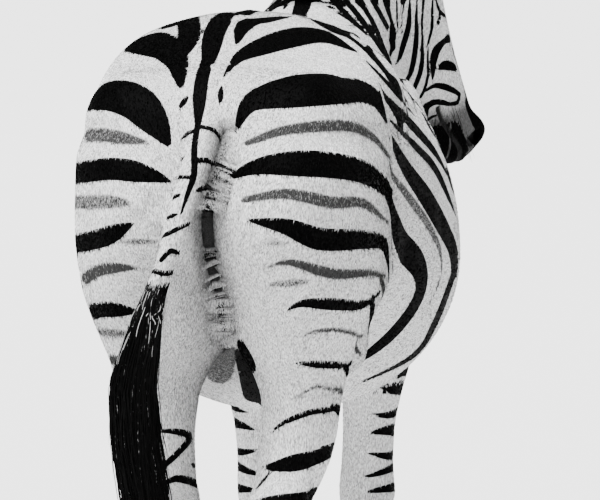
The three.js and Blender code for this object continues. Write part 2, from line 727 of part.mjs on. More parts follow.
const COLOURS = { coat: 0xd8d6d2, hair: 0x35322f, hoof: 0x4a4641, eye: 0x15110e };
const FINISH = {
  coat: { roughness: 0.75, metalness: 0 },
  hair: { roughness: 0.6, metalness: 0 },
  hoof: { roughness: 0.5, metalness: 0 },
  eye: { roughness: 0.08, metalness: 0 },
};

function meshOf(name, body, kind) {
  const { vertProperties, triVerts } = body.getMesh();
  const geometry = new THREE.BufferGeometry();
  geometry.setAttribute('position', new THREE.BufferAttribute(new Float32Array(vertProperties), 3));
  geometry.setIndex(new THREE.BufferAttribute(new Uint32Array(triVerts), 1));
  const material = new THREE.MeshStandardMaterial({ color: COLOURS[kind], ...FINISH[kind] });
  const mesh = new THREE.Mesh(geometry, material);
  mesh.name = name;
  return mesh;
}

// The largest single piece of a solid, without specks that a cut has left.
function mainPiece(body) {
  const pieces = body.decompose();
  pieces.sort((a, b) => b.volume() - a.volume());
  return pieces[0];
}

// The body a little swollen, taken away from what lies on it.
function seat(low, high, cell) {
  return surface((p) => flesh(p) - SEAT_GAP, low, high, cell);
}

function zebra() {
  const animal = new THREE.Group();
  const add = (name, body, kind) => animal.add(meshOf(name, mainPiece(body), kind));

  add('trunk', trunkPart(), 'coat');
  add('neck', neckPart(), 'coat');
  const sockets = eyePart(1, EYE_RADIUS + GAP).add(eyePart(-1, EYE_RADIUS + GAP));
  add('head', headPart(sockets), 'coat');

  const headSeat = seat([-60, 960, 920], [460, 1500, 1660], HEAD_CELL);
  const neckSeat = seat([-190, 760, 860], [330, 1420, 1680], NECK_CELL);
  const rumpSeat = seat([-330, -300, 560], [330, 1140, 1345], TRUNK_CELL);
  const ears = {};
  for (const [name, side] of [['left', -1], ['right', 1]]) {
    add(`eye_${name}`, eyePart(side, EYE_RADIUS), 'eye');
    ears[name] = earPart(side).subtract(headSeat).subtract(neckSeat);
    add(`ear_${name}`, ears[name], 'coat');
  }
  const mane = manePart().subtract(headSeat).subtract(neckSeat).subtract(rumpSeat);
  add('mane', mane, 'hair');

  const tail = sweep(TAIL, 10).subtract(rumpSeat);
  add('tail_dock', tail.intersect(dockCut.before), 'coat');
  add('tail_tuft', tail.intersect(dockCut.after), 'hair');

  for (const [name, side] of [['left', -1], ['right', 1]]) {
    const { hind, fore } = { hind: STANCE.hind[side], fore: STANCE.fore[side] };
    const hindHoof = cutSides([0, hind.ahead - 40, CORONET_HEIGHT], hoofTilt);
    const foreHoof = cutSides([0, fore.ahead + 926, CORONET_HEIGHT], hoofTilt);
    add(`hindleg_${name}`, hindLegPart(side, hindHoof), 'coat');
    add(`foreleg_${name}`, foreLegPart(side, foreHoof), 'coat');
    add(`hoof_hind_${name}`, hoofPart(HIND_LEG, side, hind, hindHoof), 'hoof');
    add(`hoof_fore_${name}`, hoofPart(FORE_LEG, side, fore, foreHoof), 'hoof');
  }
  return animal;
}

const animal = zebra();
animal.rotation.z = Math.PI;
animal.updateMatrixWorld(true);
const box = new THREE.Box3().setFromObject(animal, true);
animal.position.x -= (box.min.x + box.max.x) / 2;
animal.position.y -= (box.min.y + box.max.y) / 2;

export default animal;
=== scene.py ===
"""A life-size plains zebra: one skin, its markings, a short coat, mane, tail, eyes and hooves."""

import math

import bpy
import numpy as np
from bpy.props import FloatProperty, FloatVectorProperty, IntProperty, PointerProperty
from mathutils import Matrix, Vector
from mathutils.bvhtree import BVHTree


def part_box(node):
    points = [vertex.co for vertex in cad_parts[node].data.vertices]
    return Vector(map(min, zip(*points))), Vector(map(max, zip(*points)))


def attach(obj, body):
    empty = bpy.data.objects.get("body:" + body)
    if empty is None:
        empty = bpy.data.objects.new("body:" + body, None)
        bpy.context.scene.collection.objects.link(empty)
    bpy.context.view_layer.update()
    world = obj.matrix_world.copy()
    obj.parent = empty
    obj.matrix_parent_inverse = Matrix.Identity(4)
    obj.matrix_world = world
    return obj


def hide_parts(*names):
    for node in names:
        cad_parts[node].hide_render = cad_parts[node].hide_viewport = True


bl_info = {
    "name": "Zebra",
    "version": (1, 0, 0),
    "blender": (4, 5, 0),
    "location": "3D View > Sidebar > Zebra",
    "description": "Models a life-size plains zebra over its packed solids",
    "category": "Object",
}

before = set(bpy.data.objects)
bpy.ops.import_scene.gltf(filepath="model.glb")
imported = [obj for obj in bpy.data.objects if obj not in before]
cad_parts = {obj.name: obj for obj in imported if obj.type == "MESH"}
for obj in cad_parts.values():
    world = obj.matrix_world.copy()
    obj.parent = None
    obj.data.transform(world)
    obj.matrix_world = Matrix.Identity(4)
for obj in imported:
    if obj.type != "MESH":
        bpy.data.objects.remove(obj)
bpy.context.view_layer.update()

MM = 0.001
FLESH = ("trunk", "neck", "head", "hindleg_left", "hindleg_right", "foreleg_left",
         "foreleg_right", "tail_dock")
EARS = ("ear_left", "ear_right")

# ------------------------------------------------------------------ number helpers


def profile(pairs):
    """A smooth curve through (place, value) pairs in mm without overshoot, for whole arrays."""
    places, values = np.array(pairs, float).T * MM
    rise = np.diff(values) / np.diff(places)
    slopes = np.zeros(len(pairs))
    both = rise[:-1] * rise[1:]
    mean = np.where(both > 0, 2 * both / np.where(both > 0, rise[:-1] + rise[1:], 1), 0)
    slopes[1:-1] = mean

    def curve(place):
        place = np.clip(place, places[0], places[-1])
        i = np.clip(np.searchsorted(places, place) - 1, 0, len(places) - 2)
        span = places[i + 1] - places[i]
        t = (place - places[i]) / span
        lead = t * (1 - t) ** 2 * span * slopes[i]
        trail = t * t * (t - 1) * span * slopes[i + 1]
        return values[i] + (values[i + 1] - values[i]) * t * t * (3 - 2 * t) + lead + trail

    return curve


def ratio(pairs):
    """A profile whose places are millimetres and whose values are plain numbers."""
    return profile([(place, value * 1000) for place, value in pairs])


def unit(v):
    """Each row of an array, or one vector, at length one."""
    v = np.asarray(v, float)
    return v / np.maximum(np.linalg.norm(v, axis=-1, keepdims=True), 1e-12)


def ease(x, start, full):
    """0 up to start and 1 from full on, with a soft passage between; full may be the lower."""
    t = np.clip((x - start) / (full - start), 0, 1)
    return t * t * (3 - 2 * t)


def hill(x, middle, width):
    """A bell of height one."""
    return np.exp(-((x - middle) / width) ** 2)


def blend(a, b, k):
    """Union of two distances, blended over about the width k."""
    h = np.maximum(k - np.abs(a - b), 0) / k
    return np.minimum(a, b) - h * h * k / 4


def oval(u, v, a, b, power):
    """Distance to an oval of half sizes a and b, along the ray from its middle."""
    reach = np.hypot(u, v) + 1e-9
    q = (np.abs(u / a) ** power + np.abs(v / b) ** power) ** (1 / power)
    return reach - reach / np.maximum(q, 1e-9)


def round_off(distance, beyond, rounding):
    """Rounds off a section that has ended, by how far a place is beyond its end."""
    rounded = np.hypot(np.maximum(distance + rounding, 0), beyond) - rounding
    return np.where(beyond > 0, rounded, distance)


def ellipsoid(p, centre, size):
    """Distance to an ellipsoid, along the ray from its middle."""
    off = p - np.array(centre) * MM
    q = np.linalg.norm(off / (np.array(size) * MM), axis=1) + 1e-9
    reach = np.linalg.norm(off, axis=1)
    return reach - reach / q


def to_length(flat, a, b):
    """Share along the length from a to b nearest each place, and how far off the place is."""
    span = b - a
    t = np.clip((flat - a) @ span / (span @ span), 0, 1)
    return t, np.linalg.norm(flat - a - t[:, None] * span, axis=1)


# ------------------------------------------------------------------ the form of the animal
#
# The form is worked out in the animal's own axes: to its right, ahead, and up, in metres, with
# the tables in millimetres. place_in_row() turns such places into the row's frame.

HEAD_YAW = math.radians(45)
HEAD_PITCH = math.radians(67)
POLL = np.array([115, 1162, 1522]) * MM
HEAD_LENGTH = 492 * MM
EYE_RADIUS = 20 * MM
EYE = (150, 84, -34)

ALONG = np.array([math.cos(HEAD_PITCH) * math.sin(HEAD_YAW),
                  math.cos(HEAD_PITCH) * math.cos(HEAD_YAW), -math.sin(HEAD_PITCH)])
CROWN = np.array([math.sin(HEAD_PITCH) * math.sin(HEAD_YAW),
                  math.sin(HEAD_PITCH) * math.cos(HEAD_YAW), math.cos(HEAD_PITCH)])
SIDE = np.cross(ALONG, CROWN)


def on_head(along, side, up):
    """A place along the head from the poll, to its right side, and above the face line, in mm."""
    return POLL + (along * ALONG + side * SIDE + up * CROWN) * MM


def row_origin():
    """Where the animal's own origin lies in the row, found from the middle of its eyes."""
    middle = sum((sum(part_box(n), Vector()) / 2 for n in ("eye_left", "eye_right")), Vector()) / 2
    own = on_head(EYE[0], 0, EYE[2])
    return np.array([middle.x + own[0], middle.y + own[1], 0.0])


ROW_ORIGIN = row_origin()


def place_in_row(p):
    """Animal axes to the row's: the animal faces -Y."""
    return ROW_ORIGIN + np.asarray(p) * (-1, -1, 1)


def place_in_animal(p):
    """The row's axes to the animal's own."""
    return (np.asarray(p) - ROW_ORIGIN) * (-1, -1, 1)


BACK = profile([(-120, 1222), (-40, 1262), (60, 1294), (160, 1302), (280, 1292), (420, 1274),
                (540, 1268), (660, 1276), (760, 1292), (830, 1294), (900, 1262), (950, 1215)])
BELLY = profile([(-120, 900), (-40, 820), (60, 770), (150, 738), (240, 686), (350, 632),
                 (450, 613), (540, 607), (640, 612), (740, 626), (820, 648), (950, 716)])
TRUNK_WIDTH = profile([(-120, 128), (-40, 186), (60, 222), (160, 240), (260, 262), (380, 292),
                       (500, 309), (600, 298), (700, 266), (800, 226), (880, 190), (950, 160)])
WIDEST = profile([(-120, 1040), (100, 1030), (300, 930), (480, 884), (640, 884), (820, 930),
                  (950, 960)])
TRUNK_POWER = ratio([(-120, 2.2), (60, 2.5), (240, 2.6), (420, 2.1), (700, 2.0), (950, 2.0)])


TRUNK_FROM, TRUNK_TO = -0.120, 0.950
TRUNK_ROUNDING = 0.105


def trunk(p):
    y = np.clip(p[:, 1], TRUNK_FROM, TRUNK_TO)
    middle = WIDEST(y)
    half = np.where(p[:, 2] > middle, BACK(y) - middle, middle - BELLY(y))
    section = oval(p[:, 0], p[:, 2] - middle, TRUNK_WIDTH(y), half, TRUNK_POWER(y))
    return round_off(section, np.abs(p[:, 1] - y), TRUNK_ROUNDING)


HIND = {
    "top": 1.120,
    "outer": profile([
        (0, 148), (40, 144), (72, 136), (100, 128), (135, 126), (168, 132), (200, 127),
        (250, 119), (340, 114), (420, 118), (455, 126), (490, 131), (525, 139), (570, 157),
        (600, 168), (640, 176), (690, 180), (740, 192), (810, 220), (870, 237), (950, 244),
        (1070, 240), (1120, 228)]),
    "inner": profile([
        (0, 50), (40, 53), (72, 60), (100, 68), (135, 70), (168, 64), (200, 66), (250, 68),
        (340, 62), (420, 50), (455, 41), (490, 37), (525, 36), (570, 47), (640, 53), (690, 50),
        (730, 36), (760, 17), (800, -4), (900, -10), (1000, 4), (1120, 20)]),
    "rear": profile([
        (0, -101), (40, -104), (72, -104), (100, -116), (135, -136), (168, -148), (200, -140),
        (250, -137), (340, -143), (420, -156), (455, -176), (485, -195), (510, -196),
        (540, -180), (590, -160), (650, -152), (700, -158), (760, -180), (820, -206),
        (900, -238), (980, -252), (1050, -246), (1120, -215)]),
    "front": profile([
        (0, 22), (40, 6), (72, -8), (100, -28), (135, -52), (168, -68), (200, -82), (250, -90),
        (340, -96), (420, -92), (455, -86), (500, -76), (540, -58), (590, -24), (650, 24),
        (700, 78), (760, 148), (820, 192), (880, 206), (1000, 196), (1120, 150)]),
    "power": ratio([(0, 2.3), (72, 2.1), (300, 2.1), (480, 2.4), (600, 2.1), (900, 2.2),
                    (1120, 2.2)]),
}
FORE = {
    "top": 1.060,
    "outer": profile([
        (0, 148), (40, 145), (72, 137), (100, 128), (135, 125), (168, 130), (200, 123),
        (250, 118), (310, 119), (350, 130), (385, 143), (430, 148), (480, 147), (540, 150),
        (600, 162), (660, 180), (740, 198), (840, 210), (940, 204), (1060, 168)]),
    "inner": profile([
        (0, 48), (40, 51), (72, 58), (100, 67), (135, 70), (168, 65), (200, 70), (250, 73),
        (310, 71), (350, 60), (385, 48), (430, 45), (480, 49), (540, 52), (600, 52), (660, 44),
        (740, 30), (1060, 20)]),
    "rear": profile([
        (0, 872), (40, 872), (72, 875), (100, 866), (135, 850), (168, 840), (200, 850),
        (250, 855), (310, 855), (350, 850), (385, 838), (430, 834), (480, 832), (540, 822),
        (600, 808), (660, 788), (720, 762), (780, 722), (840, 704), (940, 680), (1060, 690)]),
    "front": profile([
        (0, 990), (40, 974), (72, 960), (100, 942), (135, 925), (168, 918), (200, 906),
        (250, 902), (310, 903), (350, 910), (385, 922), (430, 925), (480, 921), (540, 925),
        (600, 932), (660, 942), (740, 965), (840, 1010), (930, 1036), (1000, 1020),
        (1060, 980)]),
    "power": ratio([(0, 2.3), (72, 2.1), (340, 2.1), (410, 2.6), (480, 2.2), (1060, 2.1)]),
}
LEG_ROUNDING = 0.090
STANCE = {  # limb, side, how far its foot stands ahead, and to the right
    "hind_left": (HIND, -1, -0.014, 0.011),
    "hind_right": (HIND, 1, 0.014, 0.0),
    "fore_left": (FORE, -1, -0.012, 0.008),
    "fore_right": (FORE, 1, 0.012, 0.0),
}


def leg_section(name, z):
    """Middle (right, ahead) and half sizes of a leg's level section at a height."""
    shape, side, ahead, right = STANCE[name]
    z = np.minimum(z, shape["top"])
    outer, inner = shape["outer"](z), shape["inner"](z)
    rear, front = shape["rear"](z), shape["front"](z)
    x = side * (outer + inner) / 2 + right * np.clip(2 - 2 * z / 0.780, 0, 1)
    y = (front + rear) / 2 + ahead * np.clip(1 - z, 0, 1)
    return x, y, (outer - inner) / 2, (front - rear) / 2


def leg(p, name):
    shape = STANCE[name][0]
    x, y, wide, deep = leg_section(name, p[:, 2])
    section = oval(p[:, 0] - x, p[:, 1] - y, wide, deep, shape["power"](p[:, 2]))
    return round_off(section, p[:, 2] - shape["top"], LEG_ROUNDING)


NECK = np.array([  # right, ahead, up, half depth, half width
    (0, 812, 1050, 204, 148), (14, 872, 1158, 184, 116), (28, 924, 1250, 162, 98),
    (38, 980, 1332, 141, 89), (48, 1040, 1406, 121, 80), (62, 1106, 1472, 102, 70)]) * MM


def neck_axes(i):
    """Direction, side and dorsal direction of one length of the neck."""
    along = unit(NECK[i + 1, :3] - NECK[i, :3])
    side = unit(np.array([along[1], -along[0], 0]))
    return along, side, np.cross(side, along)


def neck_place(p):
    """Nearest length of the neck, how far along it, how far past the neck's ends, and offsets."""
    best = np.full(len(p), np.inf)
    index = np.zeros(len(p), int)
    part = np.zeros(len(p))
    beyond = np.zeros(len(p))
    for i in range(len(NECK) - 1):
        span = NECK[i + 1, :3] - NECK[i, :3]
        free = (p - NECK[i, :3]) @ span / (span @ span)
        t = np.clip(free, 0, 1)
        distance = np.linalg.norm(p - NECK[i, :3] - t[:, None] * span, axis=1)
        closer = distance < best
        past = ((i == 0) & (free < 0)) | ((i == len(NECK) - 2) & (free > 1))
        best = np.where(closer, distance, best)
        index = np.where(closer, i, index)
        part = np.where(closer, t, part)
        beyond = np.where(closer, np.where(past, np.abs(free - t) * np.linalg.norm(span), 0),
                          beyond)
    return index, part, beyond


def neck(p):
    index, t, beyond = neck_place(p)
    axes = [neck_axes(i) for i in range(len(NECK) - 1)]
    side = np.array([a[1] for a in axes])[index]
    up = np.array([a[2] for a in axes])[index]
    low, high = NECK[index], NECK[index + 1]
    here = low + (high - low) * t[:, None]
    off = p - here[:, :3]
    depth, width = here[:, 3], here[:, 4]
    section = oval((off * side).sum(1), (off * up).sum(1), width, depth, 2)
    return round_off(section, beyond, np.minimum(width, depth) * 0.8)


FACE = profile([(-20, -20), (20, -2), (80, 10), (130, 14), (190, 8), (260, 0), (340, -5),
                (410, -6), (455, -9), (485, -18), (500, -28)])
JAW = profile([(-20, -120), (20, -158), (70, -192), (120, -212), (165, -212), (215, -190),
               (280, -158), (350, -132), (410, -118), (455, -114), (485, -116), (500, -112)])
HEAD_WIDTH = profile([(-20, 50), (20, 64), (70, 80), (125, 92), (165, 90), (220, 74), (290, 62),
                      (360, 54), (420, 50), (460, 53), (485, 52), (500, 48)])
HEAD_ROUNDING = 0.034
HEAD_POWER = ratio([(-20, 2.1), (120, 2.4), (250, 2.5), (400, 2.3), (500, 2.2)])


def head_axes(p):
    """How far along the head, to its right side and above its face line places are."""
    off = p - POLL
    return off @ ALONG, off @ SIDE, off @ CROWN


def head(p):
    free, side, up = head_axes(p)
    along = np.clip(free, 0, HEAD_LENGTH)
    top, bottom = FACE(along), JAW(along)
    section = oval(side, up - (top + bottom) / 2, HEAD_WIDTH(along), (top - bottom) / 2,
                   HEAD_POWER(along))
    return round_off(section, np.abs(free - along), HEAD_ROUNDING)


HEAD_SWELLINGS = [  # along, side, up, size, on both sides
    (136, 66, -18, 32), (128, 52, -140, 52), (255, 50, -62, 27), (478, 34, -34, 27)]
CHIN = (472, 0, -118, 30)
MUSCLES = [  # middle, half sizes and blend of each paired muscle
    ((140, 130, 1146), (98, 160, 106), 60), ((192, 236, 1150), (34, 46, 60), 60),
    ((168, 120, 800), (74, 96, 92), 60), ((96, -196, 1010), (70, 62, 110), 50),
    ((176, 800, 1010), (46, 110, 180), 70), ((150, 960, 930), (62, 74, 78), 60),
    ((74, 1000, 880), (62, 66, 110), 50)]

TAIL = np.array([  # right, ahead, up, half width, half depth
    (2, -150, 1178, 26, 20), (-3, -208, 1132, 33, 25), (-11, -246, 1088, 31, 24),
    (-22, -268, 1037, 26, 22), (-38, -281, 984, 23, 20), (-57, -287, 918, 20, 18),
    (-76, -288, 867, 20, 18), (-90, -284, 820, 26, 23), (-110, -272, 735, 32, 29),
    (-109, -258, 639, 34, 30), (-98, -246, 557, 32, 27), (-88, -238, 480, 24, 20),
    (-82, -234, 404, 8, 7)]) * MM
DOCK_END = 6


def dock(p):
    """The fleshy part of the tail, to where only hair goes on."""
    best = np.full(len(p), 9.0)
    for i in range(DOCK_END):
        t = to_length(p, TAIL[i, :3], TAIL[i + 1, :3])[0]
        here = TAIL[i] + (TAIL[i + 1] - TAIL[i]) * t[:, None]
        off = p - here[:, :3]
        round_it = np.hypot(off[:, 0] / here[:, 3], np.hypot(off[:, 1], off[:, 2]) / here[:, 4])
        best = np.minimum(best, (round_it - 1) * here[:, 4])
    return best


# How wide each joint of the body is blended.
LUMP_BLEND = 0.026
THIGHS_BLEND = 0.040
HAUNCH_BLEND = 0.058
SHOULDER_BLEND = 0.060
NECK_BLEND = 0.095
THROAT_BLEND = 0.046
DOCK_BLEND = 0.010


def flesh(p):
    """Distance to the body out to the hair tips, negative inside."""
    d = trunk(p)
    mirrored = np.column_stack((np.abs(p[:, 0]), p[:, 1:]))
    for centre, size, width in MUSCLES:
        d = blend(d, ellipsoid(mirrored, centre, size), width * MM)
    hind = blend(leg(p, "hind_right"), leg(p, "hind_left"), THIGHS_BLEND)
    d = blend(d, hind, HAUNCH_BLEND)
    d = blend(d, np.minimum(leg(p, "fore_right"), leg(p, "fore_left")), SHOULDER_BLEND)
    d = blend(d, neck(p), NECK_BLEND)
    skull = head(p)
    for along, side, up, size in HEAD_SWELLINGS:
        for hand in (-1, 1):
            lump = np.linalg.norm(p - on_head(along, hand * side, up), axis=1) - size * MM
            skull = blend(skull, lump, LUMP_BLEND)
    chin = np.linalg.norm(p - on_head(*CHIN[:3]), axis=1) - CHIN[3] * MM
    return blend(d, blend(skull, chin, LUMP_BLEND), THROAT_BLEND)


def head_share(p):
    """1 on the head, 0 from a little way down the neck."""
    along, _, up = head_axes(p)
    inside = ease(along, -0.02, 0.06) * ease(up, -0.26, -0.20)
    near = ease(np.linalg.norm(p - on_head(240, 0, -80), axis=1), 0.42, 0.36)
    return inside * near


def coat_depth(p):
    """How deep the skin lies under the tips of the coat."""
    low = ease(p[:, 2], 0.55, 0.75)
    return 0.0028 + 0.0020 * low * (1 - head_share(p))


def bump_at(p, centre, radius, height):
    """A round swelling of the given height, centred at a place in metres."""
    return height * np.exp(-((p - np.array(centre)) ** 2).sum(1) / radius ** 2)


def add_forms(out, table, axes, places):
    """Adds a table's forms, each its height times where it counts and how it fades."""
    for height, where, *fades in table:
        form = height * places[where]
        for axis, shape, *span in fades:
            form = form * shape(axes[axis], *span)
        out += form


NOSTRIL = (486, 37, -50)
NOSTRIL_SIZE = (13, 21, 60)
NOSTRIL_LEAN = 0.30
BROW_LEAN = 0.35
MOUTH_FROM = 400
MOUTH_UP = profile([(380, -92), (420, -97), (460, -92), (500, -84), (530, -84)])
# Fine form that the solids leave out: the height in metres, the part that it belongs to, then
# along which axes it fades, as a hill (middle, width) or an ease (start, full). On the head the
# axes are in millimetres.
HEAD_RELIEF = [
    (.004, "cheek", ("up", hill, -58, 11), ("along", ease, 165, 200), ("along", ease, 330, 285)),
    (-.004, "cheek", ("up", hill, -84, 16), ("along", ease, 200, 240),
     ("along", ease, 360, 320)),
    (-.006, "cheek", ("along", hill, 92, 20), ("up", hill, -12, 15)),
    (-.0045, "cheek", ("along", hill, 196, 20), ("up", hill, -30, 16)),
    (.004, "cheek", ("brow", hill, 128, 12), ("up", hill, -2, 18)),
    (-.003, "cheek", ("along", hill, 60, 26), ("up", hill, -120, 30)),
    (.0025, "cheek", ("along", hill, 310, 60), ("up", hill, -34, 8)),
    (-.0065, "mouth", ("lip", hill, 0, 2.6)),
    (.0030, "mouth", ("lip", hill, 9, 7)),
    (.0025, "mouth", ("lip", hill, -9, 7)),
    (-.0035, "all", ("along", ease, 384, 404), ("along", ease, 424, 406), ("lip", hill, -2, 7)),
    (.0020, "cheek", ("along", hill, 395, 7), ("lip", hill, -2, 12)),
    (-.016, "nose", ("rim", ease, 1.0, 0.55)),
    (.0045, "nose", ("rim", hill, 1.28, 0.24)),
    (-.003, "all", ("side", hill, 0, 6), ("along", ease, 470, 500), ("up", hill, -55, 25)),
]


def head_relief(p):
    """Fine form of the head: how far the skin stands out, in metres."""
    along, side, up = (v / MM for v in head_axes(p))
    side = np.abs(side)
    rim_along, rim_side, rim_up = NOSTRIL
    leaning = along - rim_along + NOSTRIL_LEAN * (up - rim_up)
    off = (leaning, up - rim_up, side - rim_side)
    axes = {"along": along, "side": side, "up": up, "brow": along - BROW_LEAN * up,
            "lip": up - MOUTH_UP(along * MM) / MM,
            "rim": np.sqrt(sum((o / size) ** 2 for o, size in zip(off, NOSTRIL_SIZE)))}
    places = {"all": 1, "cheek": ease(side, 18, 42), "nose": ease(side, 16, 26),
              "mouth": ease(along, MOUTH_FROM, MOUTH_FROM + 12)}
    out = np.zeros(len(p))
    add_forms(out, HEAD_RELIEF, axes, places)
    return out


LID_LIFT = 2.6
LID_HALF = 19.5             # half the length of the gap between the lids
UPPER_LID = (9.5, -0.10)    # how far it opens at its middle, and its lean to the front corner
LOWER_LID = (-7.0, 0.15)
LID_BLEND = 9
LID_FOLDS = [(1.4, -4.5, 1.6), (-1.1, -8.0, 1.5), (0.9, -13, 3)]  # height, middle, width
SOCKET_DEPTH = 1.5
NEAR_EYE = 0.060
EYE_UPWARD = 0.22
EYE_FORWARD = 0.10
CORNER_DROP = 0.35


def eye_frame(hand):
    """Middle of an eye, where it looks, the way to its front corner and the way up over it."""
    middle = on_head(EYE[0], hand * EYE[1], EYE[2])
    look = unit(hand * SIDE + EYE_UPWARD * CROWN + EYE_FORWARD * ALONG)
    corner = unit(ALONG - CORNER_DROP * CROWN)
    corner = unit(corner - look * (corner @ look))
    over = np.cross(look, corner) * (1 if hand > 0 else -1)
    if over @ CROWN < 0:
        over = -over
    return middle, look, corner, over


def lidded(p, d):
    """Opens the skin round each eye: lids over the ball with an almond gap between them."""
    for hand in (-1, 1):
        middle, look, corner, over = eye_frame(hand)
        near = np.linalg.norm(p - middle, axis=1) < NEAR_EYE
        if not near.any():
            continue
        off = (p[near] - middle) / MM
        reach = np.linalg.norm(off, axis=1)
        c, o, f = off @ corner, off @ over, off @ look
        almond = np.sqrt(np.maximum(1 - (c / LID_HALF) ** 2, 0.0))
        upper, lower = (wide * almond * (1 + lean * c / 19) for wide, lean in
                        (UPPER_LID, LOWER_LID))
        gap = np.minimum(upper - o, o - lower)
        gap = np.where(np.abs(c) < LID_HALF, gap, -np.abs(np.abs(c) - LID_HALF) - 0.5)
        gap = np.where(f > 0, gap, -8.0)
        fold = sum(height * hill(gap, at, width) for height, at, width in LID_FOLDS)
        crease = np.where(o > 0, fold, 0.6 * fold)
        lid = reach - (EYE_RADIUS / MM + LID_LIFT + crease)
        socket = reach - (EYE_RADIUS / MM - SOCKET_DEPTH)
        opened = ease(gap, -0.9, 0.7)
        own = d[near] / MM
        covered = blend(own, lid, LID_BLEND)
        own = covered + (np.maximum(socket, covered) - covered) * opened
        d[near] = own * MM
    return d


SCAR = np.array([-0.112, -0.262, 1.007])
FURROW_DEPTH = 0.026
FURROW_HALF = 0.028
FURROW_NEAR = (0.14, 0.10, 0.95, 0.20)   # out, ahead, middle height and half height


def furrow(p):
    """How deep the fold between the thighs goes below the plain form."""
    deep = np.zeros(len(p))
    out, ahead, middle, half = FURROW_NEAR
    some = (np.abs(p[:, 0]) < out) & (p[:, 1] < ahead) & (np.abs(p[:, 2] - middle) < half)
    if some.any():
        inside = distance_to_line(p[some], CLEFT_LINE)
        deep[some] = FURROW_DEPTH * ease(inside, -FURROW_HALF, 0.006)
    return deep


SCAR_FORMS = [  # where it lies from the scar's middle, its radius and its height
    ((0, 0, 0), 0.014, 0.009), ((0.028, 0.004, -0.004), 0.016, -0.004),
    ((0.046, 0.006, -0.018), 0.016, 0.003)]
RIB_HEIGHT = 0.0011
RIB_SPACING = 0.052
RIB_LEAN = 0.18
BODY_RELIEF = [  # ahead (y), up (z) and out from the middle (r), in metres
    (-.007, "hind", ("z", hill, .585, .060), ("y", hill, -.122, .016), ("r", ease, 0.0, .03)),
    (-.0035, "hind", ("z", hill, .335, .10), ("y", hill, -.122, .007)),
    (-.0035, "fore", ("z", hill, .285, .07), ("y", hill, .874, .007)),
    (.004, "fore", ("z", hill, .42, .022), ("y", hill, .925, .03)),
    (-.003, "fore", ("z", hill, .36, .012), ("y", hill, .90, .04)),
    (.004, "hind", ("z", hill, .497, .016), ("r", hill, .122, .014)),
    (-.006, "hind", ("z", hill, .93, .16), ("r", hill, .182, .020), ("y", ease, -.02, -.12)),
    (-.008, "all", ("y", hill, .232, .030), ("z", hill, .86, .10), ("r", ease, .12, .2)),
    (-.004, "all", ("y", hill, .74, .022), ("z", hill, .98, .12), ("r", ease, .10, .16)),
    (-.005, "all", ("r", hill, 0.0, .016), ("y", ease, .97, 1.02), ("z", hill, .93, .10)),
    (.003, "all", ("r", hill, 0.0, .010), ("z", ease, 1.20, 1.24), ("y", ease, .72, .68)),
    (-.038, "all", ("z", hill, .785, .055), ("y", hill, .13, .10), ("r", ease, .13, .20)),
    (-.020, "all", ("z", hill, 1.165, .060), ("y", hill, .79, .085), ("r", ease, .06, .14)),
]


def relief(p):
    """Fine form of the whole skin: how far it stands out, in metres."""
    x, y, z = p.T
    r = np.abs(x)
    out = np.zeros(len(p))
    for off, radius, height in SCAR_FORMS:
        out += bump_at(p, SCAR + off, radius, height)
    ribs = ease(y, 0.30, 0.42) * ease(y, 0.78, 0.66) * ease(r, 0.12, 0.2)
    out += RIB_HEIGHT * ribs * np.sin((y + RIB_LEAN * z) * 2 * math.pi / RIB_SPACING) \
        * ease(z, 0.70, 0.8)
    add_forms(out, BODY_RELIEF, {"y": y, "z": z, "r": r},
              {"all": 1, "hind": y < 0.30, "fore": (y > 0.74) & (z < 0.80)})
    share = head_share(p)
    some = share > 0.01
    if some.any():
        out[some] += head_relief(p[some]) * share[some]
    return out


CORONET = 0.062
CORONET_DEPTH = 0.008
CORONET_FACING = unit(np.array([0, -0.42, -1.0]))


def coronet_middle(name):
    """The middle of a hoof's upper edge, on the plane between left and right."""
    return np.array([0, STANCE[name][2] + (0.926 if "fore" in name else -0.040), CORONET])


def coronet_cut(p):
    """How far places lie below the tops of the hooves, positive inside them."""
    best = np.full(len(p), -9.0)
    for name in STANCE:
        side, start = STANCE[name][1], coronet_middle(name)
        mine = (p[:, 1] > 0.4) == ("fore" in name)
        mine &= (p[:, 0] > 0) == (side > 0)
        best = np.where(mine, (p - start) @ CORONET_FACING - CORONET_DEPTH, best)
    return best


def skin_field(p):
    """Distance to the skin, negative inside."""
    body = blend(flesh(p) + furrow(p), dock(p), DOCK_BLEND)
    body = body + coat_depth(p) - relief(p)
    body = lidded(p, body)
    return np.maximum(body, coronet_cut(p))


SLOPE_STEP = 0.0004
LEAST_SLOPE = 0.25
LONGEST_MOVE = 0.006


def draw_onto(points, field, turns):
    """Moves points onto a field's surface by short steps down its slope."""
    for _ in range(turns):
        value = field(points)
        slope = np.stack([(field(points + SLOPE_STEP * axis) - value) / SLOPE_STEP
                          for axis in np.eye(3)], axis=1)
        steep = np.maximum((slope ** 2).sum(1), LEAST_SLOPE)
        move = np.clip(value / steep, -LONGEST_MOVE, LONGEST_MOVE)
        points = points - slope * move[:, None]
    return points


# ------------------------------------------------------------------ mesh helpers


def deselect():
    for obj in bpy.context.selected_objects:
        obj.select_set(False)


def pick(obj):
    """Makes obj the only selected and active object."""
    deselect()
    obj.select_set(True)
    bpy.context.view_layer.objects.active = obj
    return obj


def read(items, name, size=1, kind=float):
    """One property of every item of a mesh as an array."""
    flat = np.empty(len(items) * size, kind)
    items.foreach_get(name, flat)
    return flat.reshape(-1, size) if size > 1 else flat


def set_places(mesh, points):
    mesh.vertices.foreach_set("co", np.ascontiguousarray(points, float).ravel())
    mesh.update()


